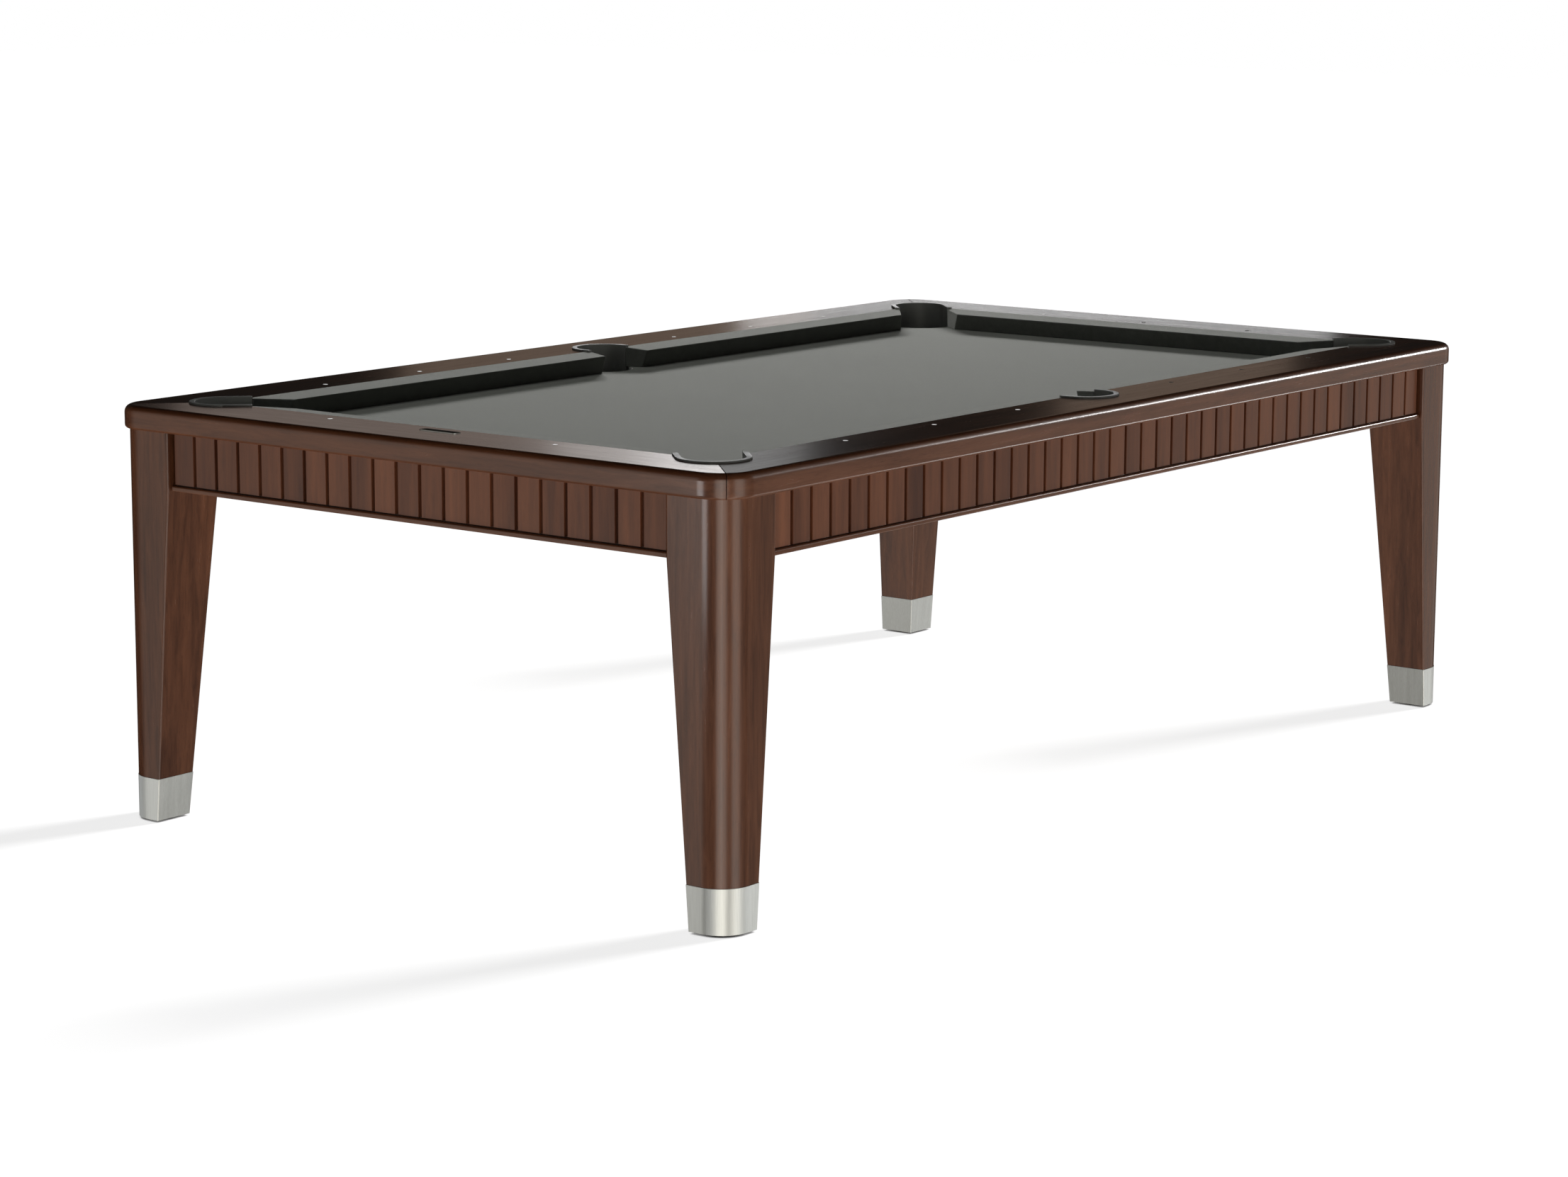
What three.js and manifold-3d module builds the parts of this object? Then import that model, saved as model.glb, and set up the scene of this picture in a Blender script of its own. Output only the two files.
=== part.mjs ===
import * as THREE from 'three';
import { mergeVertices } from 'three/addons/utils/BufferGeometryUtils.js';
import Module from 'manifold-3d';

const wasm = await Module();
wasm.setup();

// An eight-foot pool table on four tapered legs, with slatted aprons and six drop pockets.
// Millimetres, +Z up. The origin is on the floor under the middle of the table, X runs along
// the table and Y across it. Front is the -Y side, left is the -X end.

// Playing surface, from cushion nose to cushion nose
const playLength = 2235.2;
const playWidth = 1117.6;
const bedTop = 779;
const bedClothThickness = 1;
const slateThickness = 25.4;
const slateBorder = 105;
const slateSeamSpacing = 815;

// Rails and cushions
const railTop = 822;
const railThickness = 46;
const railWidth = 146.4;
const railCornerRadius = 72;
const railTopRadius = 15;
const railBottomRadius = 7;
const cushionWidth = 59;
const noseHeight = 37;
const noseThickness = 3;
const cushionUndercut = 12;

// Pockets: a facing's run is measured along the nose line, from the liner's arm to the nose tip
const throatRadius = 57.5;
const linerRimWidth = 11;
const linerRimThickness = 3.2;
const linerWall = 4;
const linerArmPastWood = 8;
const cornerPocketSetback = 68.4;
const cornerFacingRun = 64;
const sidePocketSetback = 66;
const sideFacingRun = 13.5;
const bucketWall = 3;
const bucketDepth = 84;
const facingBulge = 4;

// Legs, metal caps and levelling feet
const legInset = 11;
const legTopWidth = 136.5;
const legFootWidth = 85;
const legCornerRadius = 58;
const legEdgeRadius = 4;
const capHeight = 88;
const capWall = 2;
const capProud = 0.8;
const footGap = 4;
const padRadius = 32;
const padThickness = 9;
const padHubRadius = 11;
const padHubHeight = 4;
const padChamfer = 1.5;
const stemRadius = 6;
const stemLength = 70;
const legFloorClearance = 18;

// Aprons and their bottom ledge
const apronBottom = 663;
const apronRecess = 12;
const ledgeHeight = 10;
const ledgeProud = 5;
const ledgeRadius = 4;
const slatThickness = 8;
const slatBacking = 18;
const grooveWidth = 7.5;
const longSlatCount = 41;
const shortSlatCount = 21;
const apronEndGap = 4;

// Frame under the slate
const beamThickness = 38;
const beamHeight = 76;
const seamBeamThickness = 76;

// Nameplate on the left end rail
const plateLength = 90;
const plateWidth = 20;
const plateThickness = 1.2;
const plateSetback = 94;

// Clearances
const fit = 0.3;
const mitreGap = 0.3;
const slideGap = 1;
const slateCutGap = 1;
const bucketGap = 4;
const shadowGap = 1.5;
const plateGap = 0.05;

// Derived places
const railBottom = railTop - railThickness;
const halfPlayX = playLength / 2;
const halfPlayY = playWidth / 2;
const woodOffset = cushionWidth;
const halfRailX = halfPlayX + cushionWidth + railWidth;
const halfRailY = halfPlayY + cushionWidth + railWidth;
const halfLegX = halfRailX - legInset;
const halfLegY = halfRailY - legInset;
const slateTop = bedTop - bedClothThickness;
const slateBottom = slateTop - slateThickness;
const halfSlateX = halfPlayX + slateBorder;
const halfSlateY = halfPlayY + slateBorder;
const legTop = railBottom - fit;
const rimOuterRadius = throatRadius + linerRimWidth;
const linerOuterRadius = throatRadius + linerWall;
const rimBottom = railTop + fit;
const rimTop = rimBottom + linerRimThickness;
const bucketTop = slateBottom - fit;
const bucketBottom = bucketTop - bucketDepth;
const linerBottom = slateBottom + slideGap;
const ledgeTop = apronBottom + ledgeHeight;
const apronFaceX = halfLegX - apronRecess;
const apronFaceY = halfLegY - apronRecess;
const apronInnerX = apronFaceX - slatThickness - slatBacking;
const apronInnerY = apronFaceY - slatThickness - slatBacking;
const beamTop = slateBottom - fit;
const beamBottom = beamTop - beamHeight;
const arcSteps = 5;
const pocketSteps = 8;
const roundSides = 32;
const smallSides = 16;

// Finishes
const finish = (color, roughness, metalness) => ({ color, roughness, metalness });
const finishes = {
  wood: finish(0x4a322a, 0.32, 0),
  slatWood: finish(0x53372d, 0.38, 0),
  frameWood: finish(0xb08a5e, 0.8, 0),
  steel: finish(0xb9b5ae, 0.34, 1),
  darkSteel: finish(0x3c3c3e, 0.5, 0.9),
  cloth: finish(0x7d807c, 0.95, 0),
  slate: finish(0x4b4f52, 0.8, 0),
  liner: finish(0x9a9d9a, 0.5, 0),
  bucket: finish(0x121313, 0.7, 0),
};

const table = new THREE.Group();

// ---- Solids ----

function toSolid(geometry) {
  geometry.deleteAttribute('normal');
  geometry.deleteAttribute('uv');
  const merged = mergeVertices(geometry, 1e-4);
  const vertProperties = new Float32Array(merged.attributes.position.array);
  const triVerts = new Uint32Array(merged.index.array);
  return new wasm.Manifold(new wasm.Mesh({ numProp: 3, vertProperties, triVerts }));
}

function toGeometry(solid) {
  const mesh = solid.getMesh();
  const geometry = new THREE.BufferGeometry();
  geometry.setAttribute('position', new THREE.BufferAttribute(mesh.vertProperties, 3));
  geometry.setIndex(new THREE.BufferAttribute(mesh.triVerts, 1));
  return geometry;
}

function block(lowX, highX, lowY, highY, lowZ, highZ) {
  const geometry = new THREE.BoxGeometry(highX - lowX, highY - lowY, highZ - lowZ);
  geometry.translate((lowX + highX) / 2, (lowY + highY) / 2, (lowZ + highZ) / 2);
  return toSolid(geometry);
}

function prism(shape, lowZ, highZ) {
  const options = { depth: highZ - lowZ, bevelEnabled: false, curveSegments: arcSteps };
  const geometry = new THREE.ExtrudeGeometry(shape, options);
  geometry.translate(0, 0, lowZ);
  return toSolid(geometry);
}

// A section drawn in (across, up) and run along X
function bar(section, lowX, highX) {
  const options = { depth: highX - lowX, bevelEnabled: false, curveSegments: arcSteps };
  const geometry = new THREE.ExtrudeGeometry(section, options);
  const turn = new THREE.Matrix4().makeBasis(
    new THREE.Vector3(0, 1, 0),
    new THREE.Vector3(0, 0, 1),
    new THREE.Vector3(1, 0, 0),
  );
  geometry.applyMatrix4(turn);
  geometry.translate(lowX, 0, 0);
  return toSolid(geometry);
}

function disc(radius, lowZ, highZ, x, y, sides = roundSides) {
  const geometry = new THREE.CylinderGeometry(radius, radius, highZ - lowZ, sides);
  geometry.rotateX(Math.PI / 2);
  geometry.translate(x, y, (lowZ + highZ) / 2);
  return toSolid(geometry);
}

function polygon(points) {
  return new THREE.Shape(points.map(([x, y]) => new THREE.Vector2(x, y)));
}

function add(name, solid, finishName, turn = 0, x = 0, y = 0) {
  const material = new THREE.MeshStandardMaterial(finishes[finishName]);
  const mesh = new THREE.Mesh(toGeometry(solid), material);
  mesh.name = name;
  mesh.rotation.z = turn;
  mesh.position.set(x, y, 0);
  table.add(mesh);
}

const quarter = Math.PI / 2;

// The four corners: each is the (+X, +Y) corner turned by quarter turns
const corners = [
  { name: 'back_right', turn: 0, signX: 1, signY: 1 },
  { name: 'back_left', turn: quarter, signX: -1, signY: 1 },
  { name: 'front_left', turn: 2 * quarter, signX: -1, signY: -1 },
  { name: 'front_right', turn: 3 * quarter, signX: 1, signY: -1 },
];

// ---- Pocket outlines, shared by rails, cushions, slates, cloth, liners, buckets and beams ----

// A U round a pocket, open along -Y: half a circle and two straight arms
function pocketU(radius, armLength) {
  const shape = new THREE.Shape();
  shape.moveTo(radius, -armLength);
  shape.lineTo(radius, 0);
  shape.absarc(0, 0, radius, 0, Math.PI, false);
  shape.lineTo(-radius, -armLength);
  shape.closePath();
  return shape;
}

function pocketBand(innerRadius, outerRadius, armLength) {
  const shape = new THREE.Shape();
  shape.moveTo(outerRadius, -armLength);
  shape.lineTo(outerRadius, 0);
  shape.absarc(0, 0, outerRadius, 0, Math.PI, false);
  shape.lineTo(-outerRadius, -armLength);
  shape.lineTo(-innerRadius, -armLength);
  shape.lineTo(-innerRadius, 0);
  shape.absarc(0, 0, innerRadius, Math.PI, 0, true);
  shape.lineTo(innerRadius, -armLength);
  shape.closePath();
  return shape;
}

// Arms run from the pocket's centre to where the rim's outer edge meets the wood, and a side
// pocket's arms go a little past it.
const cornerArmEnd = woodOffset * Math.SQRT2 - rimOuterRadius;
const cornerArmLength = cornerPocketSetback - cornerArmEnd;
const sideArmEnd = woodOffset - linerArmPastWood;
const sideArmLength = sidePocketSetback - sideArmEnd;

// The slates are cut clear of the liners' arms, and a bucket reaches from the cut's front edge to
// the back of the liner.
const cornerSlateCut = Math.hypot(cornerArmLength, linerOuterRadius) + slateCutGap;
const sideSlateCut = Math.hypot(sideArmLength, linerOuterRadius) + slateCutGap;
const cornerBucketRadius = (cornerSlateCut + linerOuterRadius) / 2 + bucketWall;
const cornerBucketSetback = cornerPocketSetback - (cornerSlateCut - linerOuterRadius) / 2;
const sideBucketRadius = sideSlateCut + slateCutGap + bucketWall;

// Where each pocket stands: centre offsets from the nose corner, or from the nose line
const cornerShift = cornerPocketSetback / Math.SQRT2;
const bucketShift = cornerBucketSetback / Math.SQRT2;

const pockets = corners.map((corner) => ({
  name: corner.name,
  corner: true,
  turn: corner.turn - Math.PI / 4,
  x: corner.signX * (halfPlayX + cornerShift),
  y: corner.signY * (halfPlayY + cornerShift),
  bucketX: corner.signX * (halfPlayX + bucketShift),
  bucketY: corner.signY * (halfPlayY + bucketShift),
}));
for (const [name, sign, turn] of [['back_middle', 1, 0], ['front_middle', -1, Math.PI]]) {
  const y = sign * (halfPlayY + sidePocketSetback);
  pockets.push({ name, corner: false, turn, x: 0, y, bucketX: 0, bucketY: y });
}

function placed(geometry, turn, x, y) {
  geometry.rotateZ(turn);
  geometry.translate(x, y, 0);
  return toSolid(geometry);
}

function cutPockets(solid, cutFor) {
  return pockets.reduce((left, pocket) => left.subtract(cutFor(pocket)), solid);
}

// The room that a liner takes in a rail: its wall, down to the open bottom
function linerRoom(pocket) {
  const armLength = pocket.corner ? cornerArmLength + cushionWidth : sideArmLength + cushionWidth;
  const options = { depth: railTop - slateBottom, bevelEnabled: false, curveSegments: pocketSteps };
  const geometry = new THREE.ExtrudeGeometry(pocketU(linerOuterRadius + slideGap, armLength), options);
  geometry.translate(0, 0, slateBottom + slideGap);
  return placed(geometry, pocket.turn, pocket.x, pocket.y);
}

// The room that a leg takes at each corner, for the sheets that reach over it
function cutLegs(solid) {
  const lowX = halfLegX - legTopWidth - slideGap;
  const lowY = halfLegY - legTopWidth - slideGap;
  let left = solid;
  for (const { signX, signY } of corners) {
    const spanX = [signX * lowX, signX * halfRailX].sort((a, b) => a - b);
    const spanY = [signY * lowY, signY * halfRailY].sort((a, b) => a - b);
    left = left.subtract(block(...spanX, ...spanY, 0, railTop));
  }
  return left;
}

function slateRoom(pocket) {
  const radius = pocket.corner ? cornerSlateCut : sideSlateCut;
  return disc(radius, slateBottom - slideGap, railTop, pocket.x, pocket.y);
}

function bucketRoom(pocket) {
  const radius = pocket.corner ? cornerBucketRadius : sideBucketRadius;
  return disc(radius + bucketGap, bucketBottom - bucketGap, railTop, pocket.bucketX, pocket.bucketY);
}

// ---- Rails ----

function roundedOutline(halfX, halfY, radius) {
  const shape = new THREE.Shape();
  shape.moveTo(halfX, -halfY + radius);
  shape.absarc(halfX - radius, halfY - radius, radius, 0, quarter, false);
  shape.absarc(-halfX + radius, halfY - radius, radius, quarter, 2 * quarter, false);
  shape.absarc(-halfX + radius, -halfY + radius, radius, 2 * quarter, 3 * quarter, false);
  shape.absarc(halfX - radius, -halfY + radius, radius, 3 * quarter, 4 * quarter, false);
  return shape;
}

// A slab whose upper and lower rims are rounded by one radius
function softSlab(lowZ, highZ, rimRadius, rimSteps) {
  const geometry = new THREE.ExtrudeGeometry(roundedOutline(halfRailX, halfRailY, railCornerRadius), {
    depth: highZ - lowZ - 2 * rimRadius,
    bevelEnabled: true,
    bevelSize: rimRadius,
    bevelOffset: -rimRadius,
    bevelThickness: rimRadius,
    bevelSegments: rimSteps,
    curveSegments: arcSteps,
  });
  geometry.translate(0, 0, lowZ + rimRadius);
  return toSolid(geometry);
}

function railRing() {
  const spare = railThickness;
  const topRounded = softSlab(railBottom - spare, railTop, railTopRadius, 4);
  const bottomRounded = softSlab(railBottom, railTop + spare, railBottomRadius, 2);
  const innerX = halfPlayX + woodOffset;
  const innerY = halfPlayY + woodOffset;
  const middle = block(-innerX, innerX, -innerY, innerY, railBottom - spare, railTop + spare);
  const overSlateX = halfSlateX + slideGap;
  const overSlateY = halfSlateY + slideGap;
  const overSlate = block(
    -overSlateX, overSlateX, -overSlateY, overSlateY, railBottom - spare, bedTop + fit,
  );
  const ring = topRounded.intersect(bottomRounded).subtract(middle).subtract(overSlate);
  return cutPockets(ring, linerRoom);
}

// Everything on the +Y side of the table, up to the mitres through its two corners
function backSide(halfAlong, halfAcross) {
  const gap = mitreGap / Math.SQRT2;
  const depth = railWidth + cushionWidth;
  const points = [
    [-halfAlong - depth + gap, halfAcross + depth],
    [-halfAlong + depth + gap, halfAcross - depth],
    [halfAlong - depth - gap, halfAcross - depth],
    [halfAlong + depth - gap, halfAcross + depth],
  ];
  return points;
}

function mitred(solid, points) {
  return solid.intersect(prism(polygon(points), railBottom - railThickness, railTop + railThickness));
}

const ring = railRing();
const longRail = mitred(ring, backSide(halfRailX, halfRailY));
const shortRail = mitred(ring, backSide(halfRailY, halfRailX).map(([along, out]) => [out, -along]));
add('rail_back', longRail, 'wood');
add('rail_front', longRail, 'wood', Math.PI);
add('rail_right', shortRail, 'wood');
add('rail_left', shortRail, 'wood', Math.PI);

// ---- Cushions ----

// The end of a cushion in (along, outward), measured from the pocket's reference point on the
// nose line: from the wood, round the end of the liner's arm and down the facing to the nose.
function cushionEnd(corner) {
  const points = [];
  const armStart = new THREE.Vector2(throatRadius, sideArmEnd - slideGap);
  if (corner) {
    armStart.set(throatRadius - cornerArmEnd, throatRadius + cornerArmEnd).divideScalar(Math.SQRT2);
    armStart.x += slideGap;
    points.push([armStart.x + woodOffset - armStart.y, woodOffset - fit]);
  } else {
    const armSide = rimOuterRadius + slideGap;
    points.push([armSide, woodOffset - fit], [armSide, armStart.y]);
  }
  const tip = new THREE.Vector2(armStart.x + (corner ? cornerFacingRun : sideFacingRun), 0);
  const bend = new THREE.Vector2((armStart.x + tip.x) / 2, (armStart.y + tip.y) / 2);
  bend.add(new THREE.Vector2(-facingBulge, facingBulge));
  const curve = new THREE.QuadraticBezierCurve(armStart, bend, tip);
  points.push(...curve.getPoints(arcSteps).map((point) => [point.x, point.y]));
  return points;
}

// Plan of a cushion whose pockets' reference points are at along = 0 and along = span
function cushionPlan(startCorner, endCorner, span) {
  const start = cushionEnd(startCorner);
  const end = cushionEnd(endCorner).map(([along, out]) => [span - along, out]);
  return polygon([...start, ...end.reverse()]);
}

function cushionSection() {
  const noseTop = bedTop + noseHeight + noseThickness / 2;
  const noseLow = noseTop - noseThickness;
  return polygon([
    [0, noseLow],
    [cushionUndercut, bedTop + fit],
    [cushionWidth, bedTop + fit],
    [cushionWidth, railTop],
    [noseThickness, noseTop],
    [0, noseTop - noseThickness / 2],
  ]);
}

function cushion(startCorner, endCorner, span) {
  const plan = prism(cushionPlan(startCorner, endCorner, span), bedTop - slideGap, railTop + slideGap);
  return bar(cushionSection(), 0, span).intersect(plan);
}

const longCushionA = cushion(false, true, halfPlayX);
const longCushionB = cushion(true, false, halfPlayX);
const shortCushion = cushion(true, true, playWidth);
add('cushion_back_right', longCushionA, 'cloth', 0, 0, halfPlayY);
add('cushion_back_left', longCushionB, 'cloth', 0, -halfPlayX, halfPlayY);
add('cushion_front_left', longCushionA, 'cloth', Math.PI, 0, -halfPlayY);
add('cushion_front_right', longCushionB, 'cloth', Math.PI, halfPlayX, -halfPlayY);
add('cushion_left', shortCushion, 'cloth', quarter, -halfPlayX, -halfPlayY);
add('cushion_right', shortCushion, 'cloth', -quarter, halfPlayX, halfPlayY);

// ---- Pocket liners and buckets ----

function liner(corner) {
  const armLength = corner ? cornerArmLength : sideArmLength;
  const wall = prism(pocketBand(throatRadius, linerOuterRadius, armLength), linerBottom, rimTop);
  const rim = prism(pocketBand(throatRadius, rimOuterRadius, armLength), rimBottom, rimTop);
  return wall.add(rim);
}

function bucket(radius) {
  const inner = radius - bucketWall;
  const profile = [
    [0, bucketBottom],
    [radius, bucketBottom],
    [radius, bucketTop],
    [inner, bucketTop],
    [inner, bucketBottom + bucketWall],
    [0, bucketBottom + bucketWall],
  ].map(([r, z]) => new THREE.Vector2(r, z));
  const geometry = new THREE.LatheGeometry(profile, smallSides + smallSides / 2);
  geometry.rotateX(quarter);
  return toSolid(geometry);
}

const cornerLiner = liner(true);
const sideLiner = liner(false);
const cornerBucket = bucket(cornerBucketRadius);
const sideBucket = bucket(sideBucketRadius);
for (const pocket of pockets) {
  const linerSolid = pocket.corner ? cornerLiner : sideLiner;
  const bucketSolid = pocket.corner ? cornerBucket : sideBucket;
  add(`liner_${pocket.name}`, linerSolid, 'liner', pocket.turn, pocket.x, pocket.y);
  add(`bucket_${pocket.name}`, bucketSolid, 'bucket', 0, pocket.bucketX, pocket.bucketY);
}

// ---- Slate and bed cloth ----

const seamX = slateSeamSpacing / 2;
const slateSpans = [
  ['slate_left', -halfSlateX, -seamX],
  ['slate_middle', -seamX, seamX],
  ['slate_right', seamX, halfSlateX],
];
for (const [name, lowX, highX] of slateSpans) {
  const lowGap = lowX > -halfSlateX ? fit / 2 : 0;
  const highGap = highX < halfSlateX ? fit / 2 : 0;
  const slab = block(lowX + lowGap, highX - highGap, -halfSlateY, halfSlateY, slateBottom, slateTop - fit);
  add(name, cutLegs(cutPockets(slab, slateRoom)), 'slate');
}
const clothSheet = block(-halfSlateX, halfSlateX, -halfSlateY, halfSlateY, slateTop, bedTop);
add('bed_cloth', cutLegs(cutPockets(clothSheet, slateRoom)), 'cloth');

// ---- Legs, caps and levelling feet ----

// Plan of a leg in its corner frame: both outer faces on the axes, the leg in the -X -Y quarter
function legOutline(inset) {
  const low = inset - legTopWidth;
  const high = -inset;
  const outerRadius = legCornerRadius - inset;
  const edge = legEdgeRadius;
  const shape = new THREE.Shape();
  shape.moveTo(high, low + edge);
  shape.lineTo(high, high - outerRadius);
  shape.absarc(high - outerRadius, high - outerRadius, outerRadius, 0, quarter, false);
  shape.lineTo(low + edge, high);
  shape.absarc(low + edge, high - edge, edge, quarter, 2 * quarter, false);
  shape.lineTo(low, low + edge);
  shape.absarc(low + edge, low + edge, edge, 2 * quarter, 3 * quarter, false);
  shape.lineTo(high - edge, low);
  shape.absarc(high - edge, low + edge, edge, 3 * quarter, 4 * quarter, false);
  return shape;
}

function legWidthAt(z) {
  const share = Math.min(1, Math.max(0, z / apronBottom));
  return legFootWidth + (legTopWidth - legFootWidth) * share;
}

// A piece of leg through the given levels: the outer faces stay upright, the inner two taper
function legPiece(inset, levels) {
  const steps = levels.length - 1;
  const options = { depth: steps, steps, bevelEnabled: false, curveSegments: 3 };
  const geometry = new THREE.ExtrudeGeometry(legOutline(inset), options);
  const place = geometry.attributes.position;
  const squeeze = (value, z) => {
    const depth = -value - legCornerRadius;
    const scale = (legWidthAt(z) - inset - legCornerRadius) / (legTopWidth - inset - legCornerRadius);
    return depth > 0 ? -legCornerRadius - depth * scale : value;
  };
  for (let i = 0; i < place.count; i += 1) {
    const z = levels[Math.round(place.getZ(i))];
    place.setXYZ(i, squeeze(place.getX(i), z), squeeze(place.getY(i), z), z);
  }
  return toSolid(geometry);
}

const footCentre = -(legFootWidth + capWall) / 2;
const stemLow = padThickness + padHubHeight / 2 - fit;
const stemHigh = stemLow + stemLength;
const boreTop = stemHigh + legFloorClearance / 2;

function leg() {
  const shaft = legPiece(0, [capHeight + fit, apronBottom, legTop]);
  const tenon = legPiece(capWall - capProud + fit, [legFloorClearance, capHeight + 2 * fit]);
  const bore = disc(stemRadius + slideGap, 0, boreTop, footCentre, footCentre, smallSides);
  const bucketX = halfPlayX + bucketShift - halfLegX;
  const relief = disc(
    cornerBucketRadius + bucketGap, bucketBottom - bucketGap, railTop, bucketX, bucketX,
  );
  return shaft.add(tenon).subtract(bore).subtract(relief);
}

function cap() {
  const levels = [footGap, capHeight];
  const cut = [footGap - slideGap, capHeight + slideGap];
  return legPiece(-capProud, levels).subtract(legPiece(capWall - capProud, cut));
}

function pad() {
  const socketRadius = stemRadius + fit;
  const socketLow = stemLow - fit;
  const hubTop = padThickness + padHubHeight;
  const profile = [
    [0, 0],
    [padRadius - padChamfer, 0],
    [padRadius, padChamfer],
    [padRadius, padThickness / 2],
    [padHubRadius, padThickness],
    [padHubRadius, hubTop],
    [socketRadius, hubTop],
    [socketRadius, socketLow],
    [0, socketLow],
  ].map(([r, z]) => new THREE.Vector2(r, z));
  const geometry = new THREE.LatheGeometry(profile, smallSides);
  geometry.rotateX(quarter);
  return toSolid(geometry);
}

const legSolid = leg();
const capSolid = cap();
const padSolid = pad();
const stemSolid = disc(stemRadius, stemLow, stemHigh, 0, 0, smallSides);
for (const corner of corners) {
  const x = corner.signX * halfLegX;
  const y = corner.signY * halfLegY;
  const footX = corner.signX * (halfLegX + footCentre);
  const footY = corner.signY * (halfLegY + footCentre);
  add(`leg_${corner.name}`, legSolid, 'wood', corner.turn, x, y);
  add(`cap_${corner.name}`, capSolid, 'steel', corner.turn, x, y);
  add(`foot_pad_${corner.name}`, padSolid, 'darkSteel', 0, footX, footY);
  add(`foot_stem_${corner.name}`, stemSolid, 'darkSteel', 0, footX, footY);
}

// ---- Aprons and ledges ----

// Slatted board between two legs, drawn in (along, outward) with its outer face at outward = 0
function slatPlan(length, count) {
  const pitch = length / count;
  const back = -slatThickness;
  const shape = new THREE.Shape();
  shape.moveTo(-length / 2, back - slatBacking);
  for (let i = 0; i < count; i += 1) {
    const low = -length / 2 + i * pitch + grooveWidth / 2;
    const high = low + pitch - grooveWidth;
    shape.lineTo(i === 0 ? -length / 2 : low, back);
    shape.lineTo(low, back);
    shape.lineTo(low, 0);
    shape.lineTo(high, 0);
    shape.lineTo(high, back);
  }
  shape.lineTo(length / 2, back);
  shape.lineTo(length / 2, back - slatBacking);
  shape.closePath();
  return shape;
}

function ledgeSection() {
  const outer = ledgeProud;
  const inner = -slatThickness - slatBacking;
  const shape = new THREE.Shape();
  shape.moveTo(inner, apronBottom);
  shape.lineTo(outer, apronBottom);
  shape.lineTo(outer, ledgeTop - ledgeRadius);
  shape.absarc(outer - ledgeRadius, ledgeTop - ledgeRadius, ledgeRadius, 0, quarter, false);
  shape.lineTo(inner, ledgeTop);
  shape.closePath();
  return shape;
}

const apronLow = ledgeTop + fit;
const apronHigh = railBottom - shadowGap;
const longApronLength = 2 * (halfLegX - legTopWidth - apronEndGap);
const shortApronLength = 2 * (halfLegY - legTopWidth - apronEndGap);
const longApron = prism(slatPlan(longApronLength, longSlatCount), apronLow, apronHigh);
const shortApron = prism(slatPlan(shortApronLength, shortSlatCount), apronLow, apronHigh);
const longLedge = bar(ledgeSection(), -longApronLength / 2, longApronLength / 2);
const shortLedge = bar(ledgeSection(), -shortApronLength / 2, shortApronLength / 2);
const sides = [
  { name: 'back', turn: 0, x: 0, y: apronFaceY, apron: longApron, ledge: longLedge },
  { name: 'front', turn: Math.PI, x: 0, y: -apronFaceY, apron: longApron, ledge: longLedge },
  { name: 'left', turn: quarter, x: -apronFaceX, y: 0, apron: shortApron, ledge: shortLedge },
  { name: 'right', turn: -quarter, x: apronFaceX, y: 0, apron: shortApron, ledge: shortLedge },
];
for (const side of sides) {
  const apron = placed(toGeometry(side.apron), side.turn, side.x, side.y);
  const ledge = placed(toGeometry(side.ledge), side.turn, side.x, side.y);
  add(`apron_${side.name}`, cutPockets(apron, bucketRoom), 'slatWood');
  add(`ledge_${side.name}`, cutPockets(ledge, bucketRoom), 'wood');
}

// ---- Frame under the slate ----

const beamOuterX = apronInnerX - fit;
const beamOuterY = apronInnerY - fit;
const beamEndX = halfLegX - legTopWidth - slideGap;
const beamEndY = halfLegY - legTopWidth - slideGap;
const beamInnerX = beamOuterX - beamThickness;
const beamInnerY = beamOuterY - beamThickness;

function beam(lowX, highX, lowY, highY) {
  return cutPockets(block(lowX, highX, lowY, highY, beamBottom, beamTop), bucketRoom);
}

// The long beams stop either side of the side pockets
const beamStartX = sideBucketRadius + bucketGap;
add('beam_back_left', beam(-beamEndX, -beamStartX, beamInnerY, beamOuterY), 'frameWood');
add('beam_back_right', beam(beamStartX, beamEndX, beamInnerY, beamOuterY), 'frameWood');
add('beam_front_left', beam(-beamEndX, -beamStartX, -beamOuterY, -beamInnerY), 'frameWood');
add('beam_front_right', beam(beamStartX, beamEndX, -beamOuterY, -beamInnerY), 'frameWood');
add('beam_right', beam(beamInnerX, beamOuterX, -beamEndY, beamEndY), 'frameWood');
add('beam_left', beam(-beamOuterX, -beamInnerX, -beamEndY, beamEndY), 'frameWood');
for (const [name, x] of [['seam_beam_left', -seamX], ['seam_beam_right', seamX]]) {
  const lowX = x - seamBeamThickness / 2;
  const highX = x + seamBeamThickness / 2;
  add(name, beam(lowX, highX, -beamInnerY + fit, beamInnerY - fit), 'frameWood');
}

// ---- Nameplate, left blank ----

const plateX = -(halfPlayX + plateSetback);
const plateLow = railTop + plateGap;
const plate = block(
  plateX - plateWidth / 2, plateX + plateWidth / 2,
  -plateLength / 2, plateLength / 2, plateLow, plateLow + plateThickness,
);
add('nameplate', plate, 'steel');

export default table;
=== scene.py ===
import math
import random

import bmesh
import bpy
from mathutils import Euler, Matrix, Vector


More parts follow.
